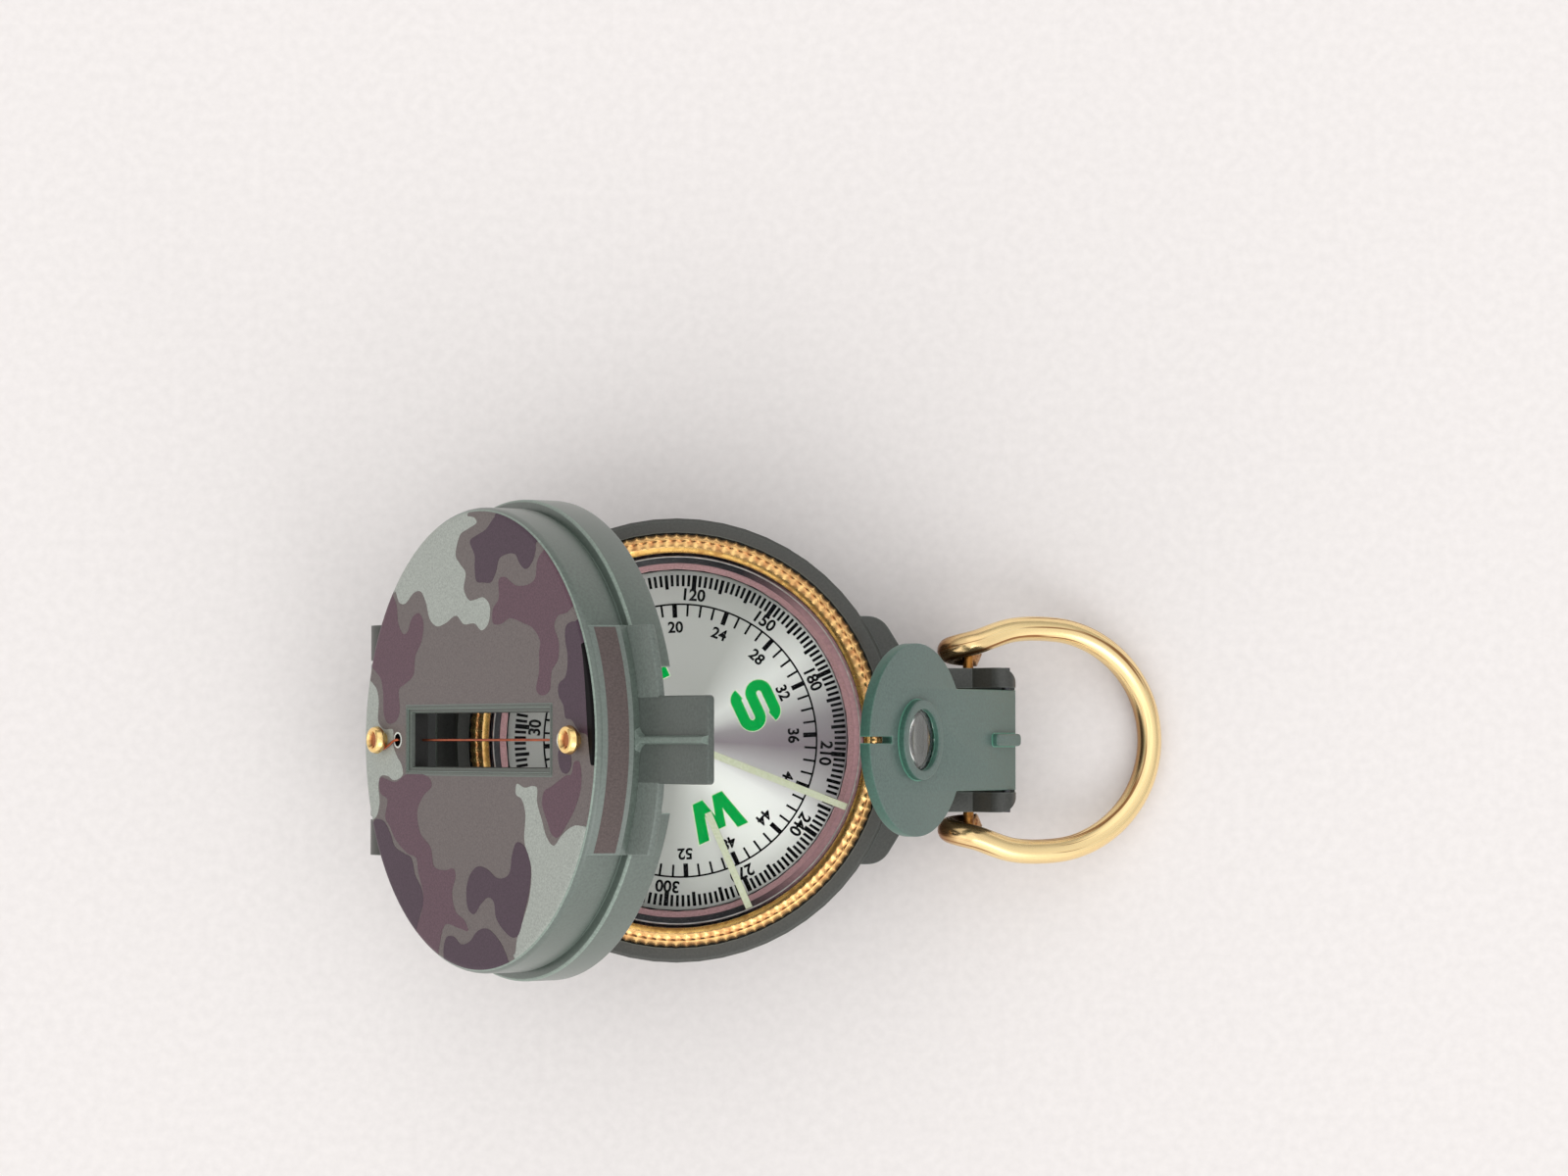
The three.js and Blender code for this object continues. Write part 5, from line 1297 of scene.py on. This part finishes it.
def make_ring():
    """The bent wire: an eye at each end, two arms and a round bow."""
    start = RING_LENGTH - RING_ARC_LENGTH
    half = []
    for index in range(10):
        left = 1 - index / 9
        angle = math.radians(90 + RING_EYE_TURN * left)
        lean = RING_EYE_LEAN * (1 - left) ** 2
        half.append((RING_EYE_RADIUS * math.cos(angle), RING_EYE_OFFSET - RING_EYE_SHIFT * left + lean,
                     RING_EYE_RADIUS * math.sin(angle)))
    half.append((start / 2, RING_HALF_WIDTH - RING_ARM_TAPER, RING_EYE_RADIUS))
    for index in range(6):
        angle = math.radians(90 - 15 * index)
        half.append((start + RING_ARC_LENGTH * math.cos(angle), RING_HALF_WIDTH * math.sin(angle),
                     RING_EYE_RADIUS))
    points = [*half, (RING_LENGTH, 0.0, RING_EYE_RADIUS), *((x, -y, z) for x, y, z in reversed(half))]
    mesh = pipe("thumb_ring", smooth_path(points), RING_WIRE)
    placed("ring_wire", mesh, RING, "ring", "gold_brass", RING_GOLD, sharp=60, node="thumb_ring")


def make_bracket():
    """The bracket's plate with its slot and lens hole, its rounded end, collar and thumb rib."""
    join = math.degrees(math.asin(STEM_HALF / DISC_RADIUS))
    slot_end = -DISC_OFFSET - DISC_RADIUS + SLOT_LENGTH
    slot_angle = math.degrees(math.asin(SLOT_HALF / DISC_RADIUS))
    plan = [
        (PLATE_END, -STEM_HALF), (PLATE_END, STEM_HALF),
        *arc(DISC_RADIUS, join, 180 - slot_angle, -DISC_OFFSET, 0, 90),
        (slot_end, SLOT_HALF), (slot_end, -SLOT_HALF),
        *arc(DISC_RADIUS, 180 + slot_angle, 360 - join, -DISC_OFFSET, 0, 90),
    ]
    hole = circle(LENS_SEAT_RADIUS, -DISC_OFFSET, 0, 72)
    plate = slab("plate", [plan, hole[::-1]], -PLATE_HALF, PLATE_HALF, edge=0.14)
    collar = lathe("collar", rounded([
        (LENS_SEAT_RADIUS, 0.0), (COLLAR_RADIUS, 0.0), (COLLAR_RADIUS, PLATE_HALF + 0.001),
        (COLLAR_RADIUS, COLLAR_TOP, 0.3), (APERTURE_RADIUS, COLLAR_TOP, 0.25),
        (APERTURE_RADIUS, LENS_SEAT_TOP), (LENS_SEAT_RADIUS, LENS_SEAT_TOP)]), 96, -DISC_OFFSET)
    rib_plan = rectangle(PLATE_END - THUMB_RIB_LENGTH, -THUMB_RIB_HALF, PLATE_END, THUMB_RIB_HALF, 0.5)
    rib = slab("rib", [rib_plan], 0.0, THUMB_RIB_TOP, edge=0.3)
    mesh = merged("bracket", [plate, collar, rib])
    for face in mesh.polygons:
        face.material_index = int(abs(face.normal.z) < 0.5)
    greens = BRACKET_GREEN, BRACKET_EDGE
    placed("bracket_plate", mesh, BRACKET, "bracket", "bracket_plastic", *greens, node="lens_bracket")


def make_lens():
    """A lens bulging on both faces."""
    shares = [step / 16 for step in range(17)]
    outline = [(LENS_RADIUS * share, LENS_BOTTOM - LENS_CROWN * (1 - share ** 2)) for share in shares]
    outline += [(LENS_RADIUS * share, LENS_TOP + LENS_CROWN * (1 - share ** 2)) for share in reversed(shares)]
    mesh = lathe("lens", outline, 72, -DISC_OFFSET)
    placed("magnifier_look", mesh, BRACKET, "bracket", "lens_glass", LENS, node="magnifier_lens")


# Brightness of the room's walls from the picture's lower side to its upper side, and of its ceiling
WALLS = [(0.0, 1.25), (0.5, 0.5), (1.0, 0.3)]
CEILING = [(0.0, 1.08), (0.45, 0.93), (1.0, 0.95)]


def make_stage():
    """A pale floor, soft light that is strongest from the lower side of the picture, and the camera."""
    floor_mesh = mesh_of("floor", [(-2, -2, 0), (2, -2, 0), (2, 2, 0), (-2, 2, 0)], [(0, 1, 2, 3)])
    floor = linked("floor", floor_mesh)
    ground = Finish("floor_pale", rgb(228, 223, 221), 0.9)
    grain = ground.noise(1.2, 4.0)
    ground.set("Base Color", ground.ramp(grain, (0.3, rgb(225, 220, 218)), (0.7, rgb(231, 226, 224))))
    floor_mesh.materials.append(ground.material)

    world = bpy.data.worlds.new("studio")
    bpy.context.scene.world = world
    world.use_nodes = True
    room = Wiring(world.node_tree)
    way = room.add("ShaderNodeTexCoord").outputs["Generated"]
    across = room.halved(room.part(way, "Y"))
    height = room.ramp(room.part(way, "Z"), (0.15, 0.0), (0.65, 1.0))
    shade = room.mix(height, room.ramp(across, *WALLS), room.ramp(across, *CEILING))
    room.feed(room.nodes["Background"].inputs["Color"], shade)

    sun("overhead", (0.05, -0.2, 1.0), 0.3, 60)
    sun("key", (0.42, -0.62, 0.66), 0.5, 35)
    sun("upper", (0.2, 0.7, 0.66), 0.15, 50)
    sun("fill", (-0.66, -0.38, 0.65), 0.3, 50)

    eye = bpy.data.cameras.new("camera")
    eye.lens = CAMERA_LENS
    eye.sensor_fit = "HORIZONTAL"
    eye.sensor_width = SENSOR_WIDTH
    camera = linked("camera", eye)
    place = Vector(CAMERA_PLACE) * MM
    back = (place - Vector(CAMERA_TARGET) * MM).normalized()
    right = (Vector((1, 0, 0)) - back * back.x).normalized()
    turned = Matrix((right, back.cross(right), back)).transposed().to_4x4()
    camera.matrix_world = Matrix.Translation(place) @ turned
    bpy.context.scene.camera = camera
    bpy.context.scene.view_settings.view_transform = "Standard"


def sun(name, place, strength, spread):
    """A broad, even light from far away in one direction."""
    light = bpy.data.lights.new(name, "SUN")
    light.energy = strength
    light.angle = math.radians(spread)
    holder = linked(name, light)
    holder.location = place
    holder.rotation_euler = Vector(place).to_track_quat("Z", "Y").to_euler()


make_stage()
make_case()
make_inner_pieces()
make_retainer()
make_dial_print()
make_bezel()
make_cover_body()
make_cover_tab()
make_cover_knuckle()
make_window_frame()
make_camouflage()
make_stud("sight_stud_front", WINDOW_CENTRE + STUD_OFFSET)
make_stud("sight_stud_rear", WINDOW_CENTRE - STUD_OFFSET)
smoothed("sight_wire", "cover", "copper_wire", COPPER)
make_bracket()
make_lens()
make_ring()
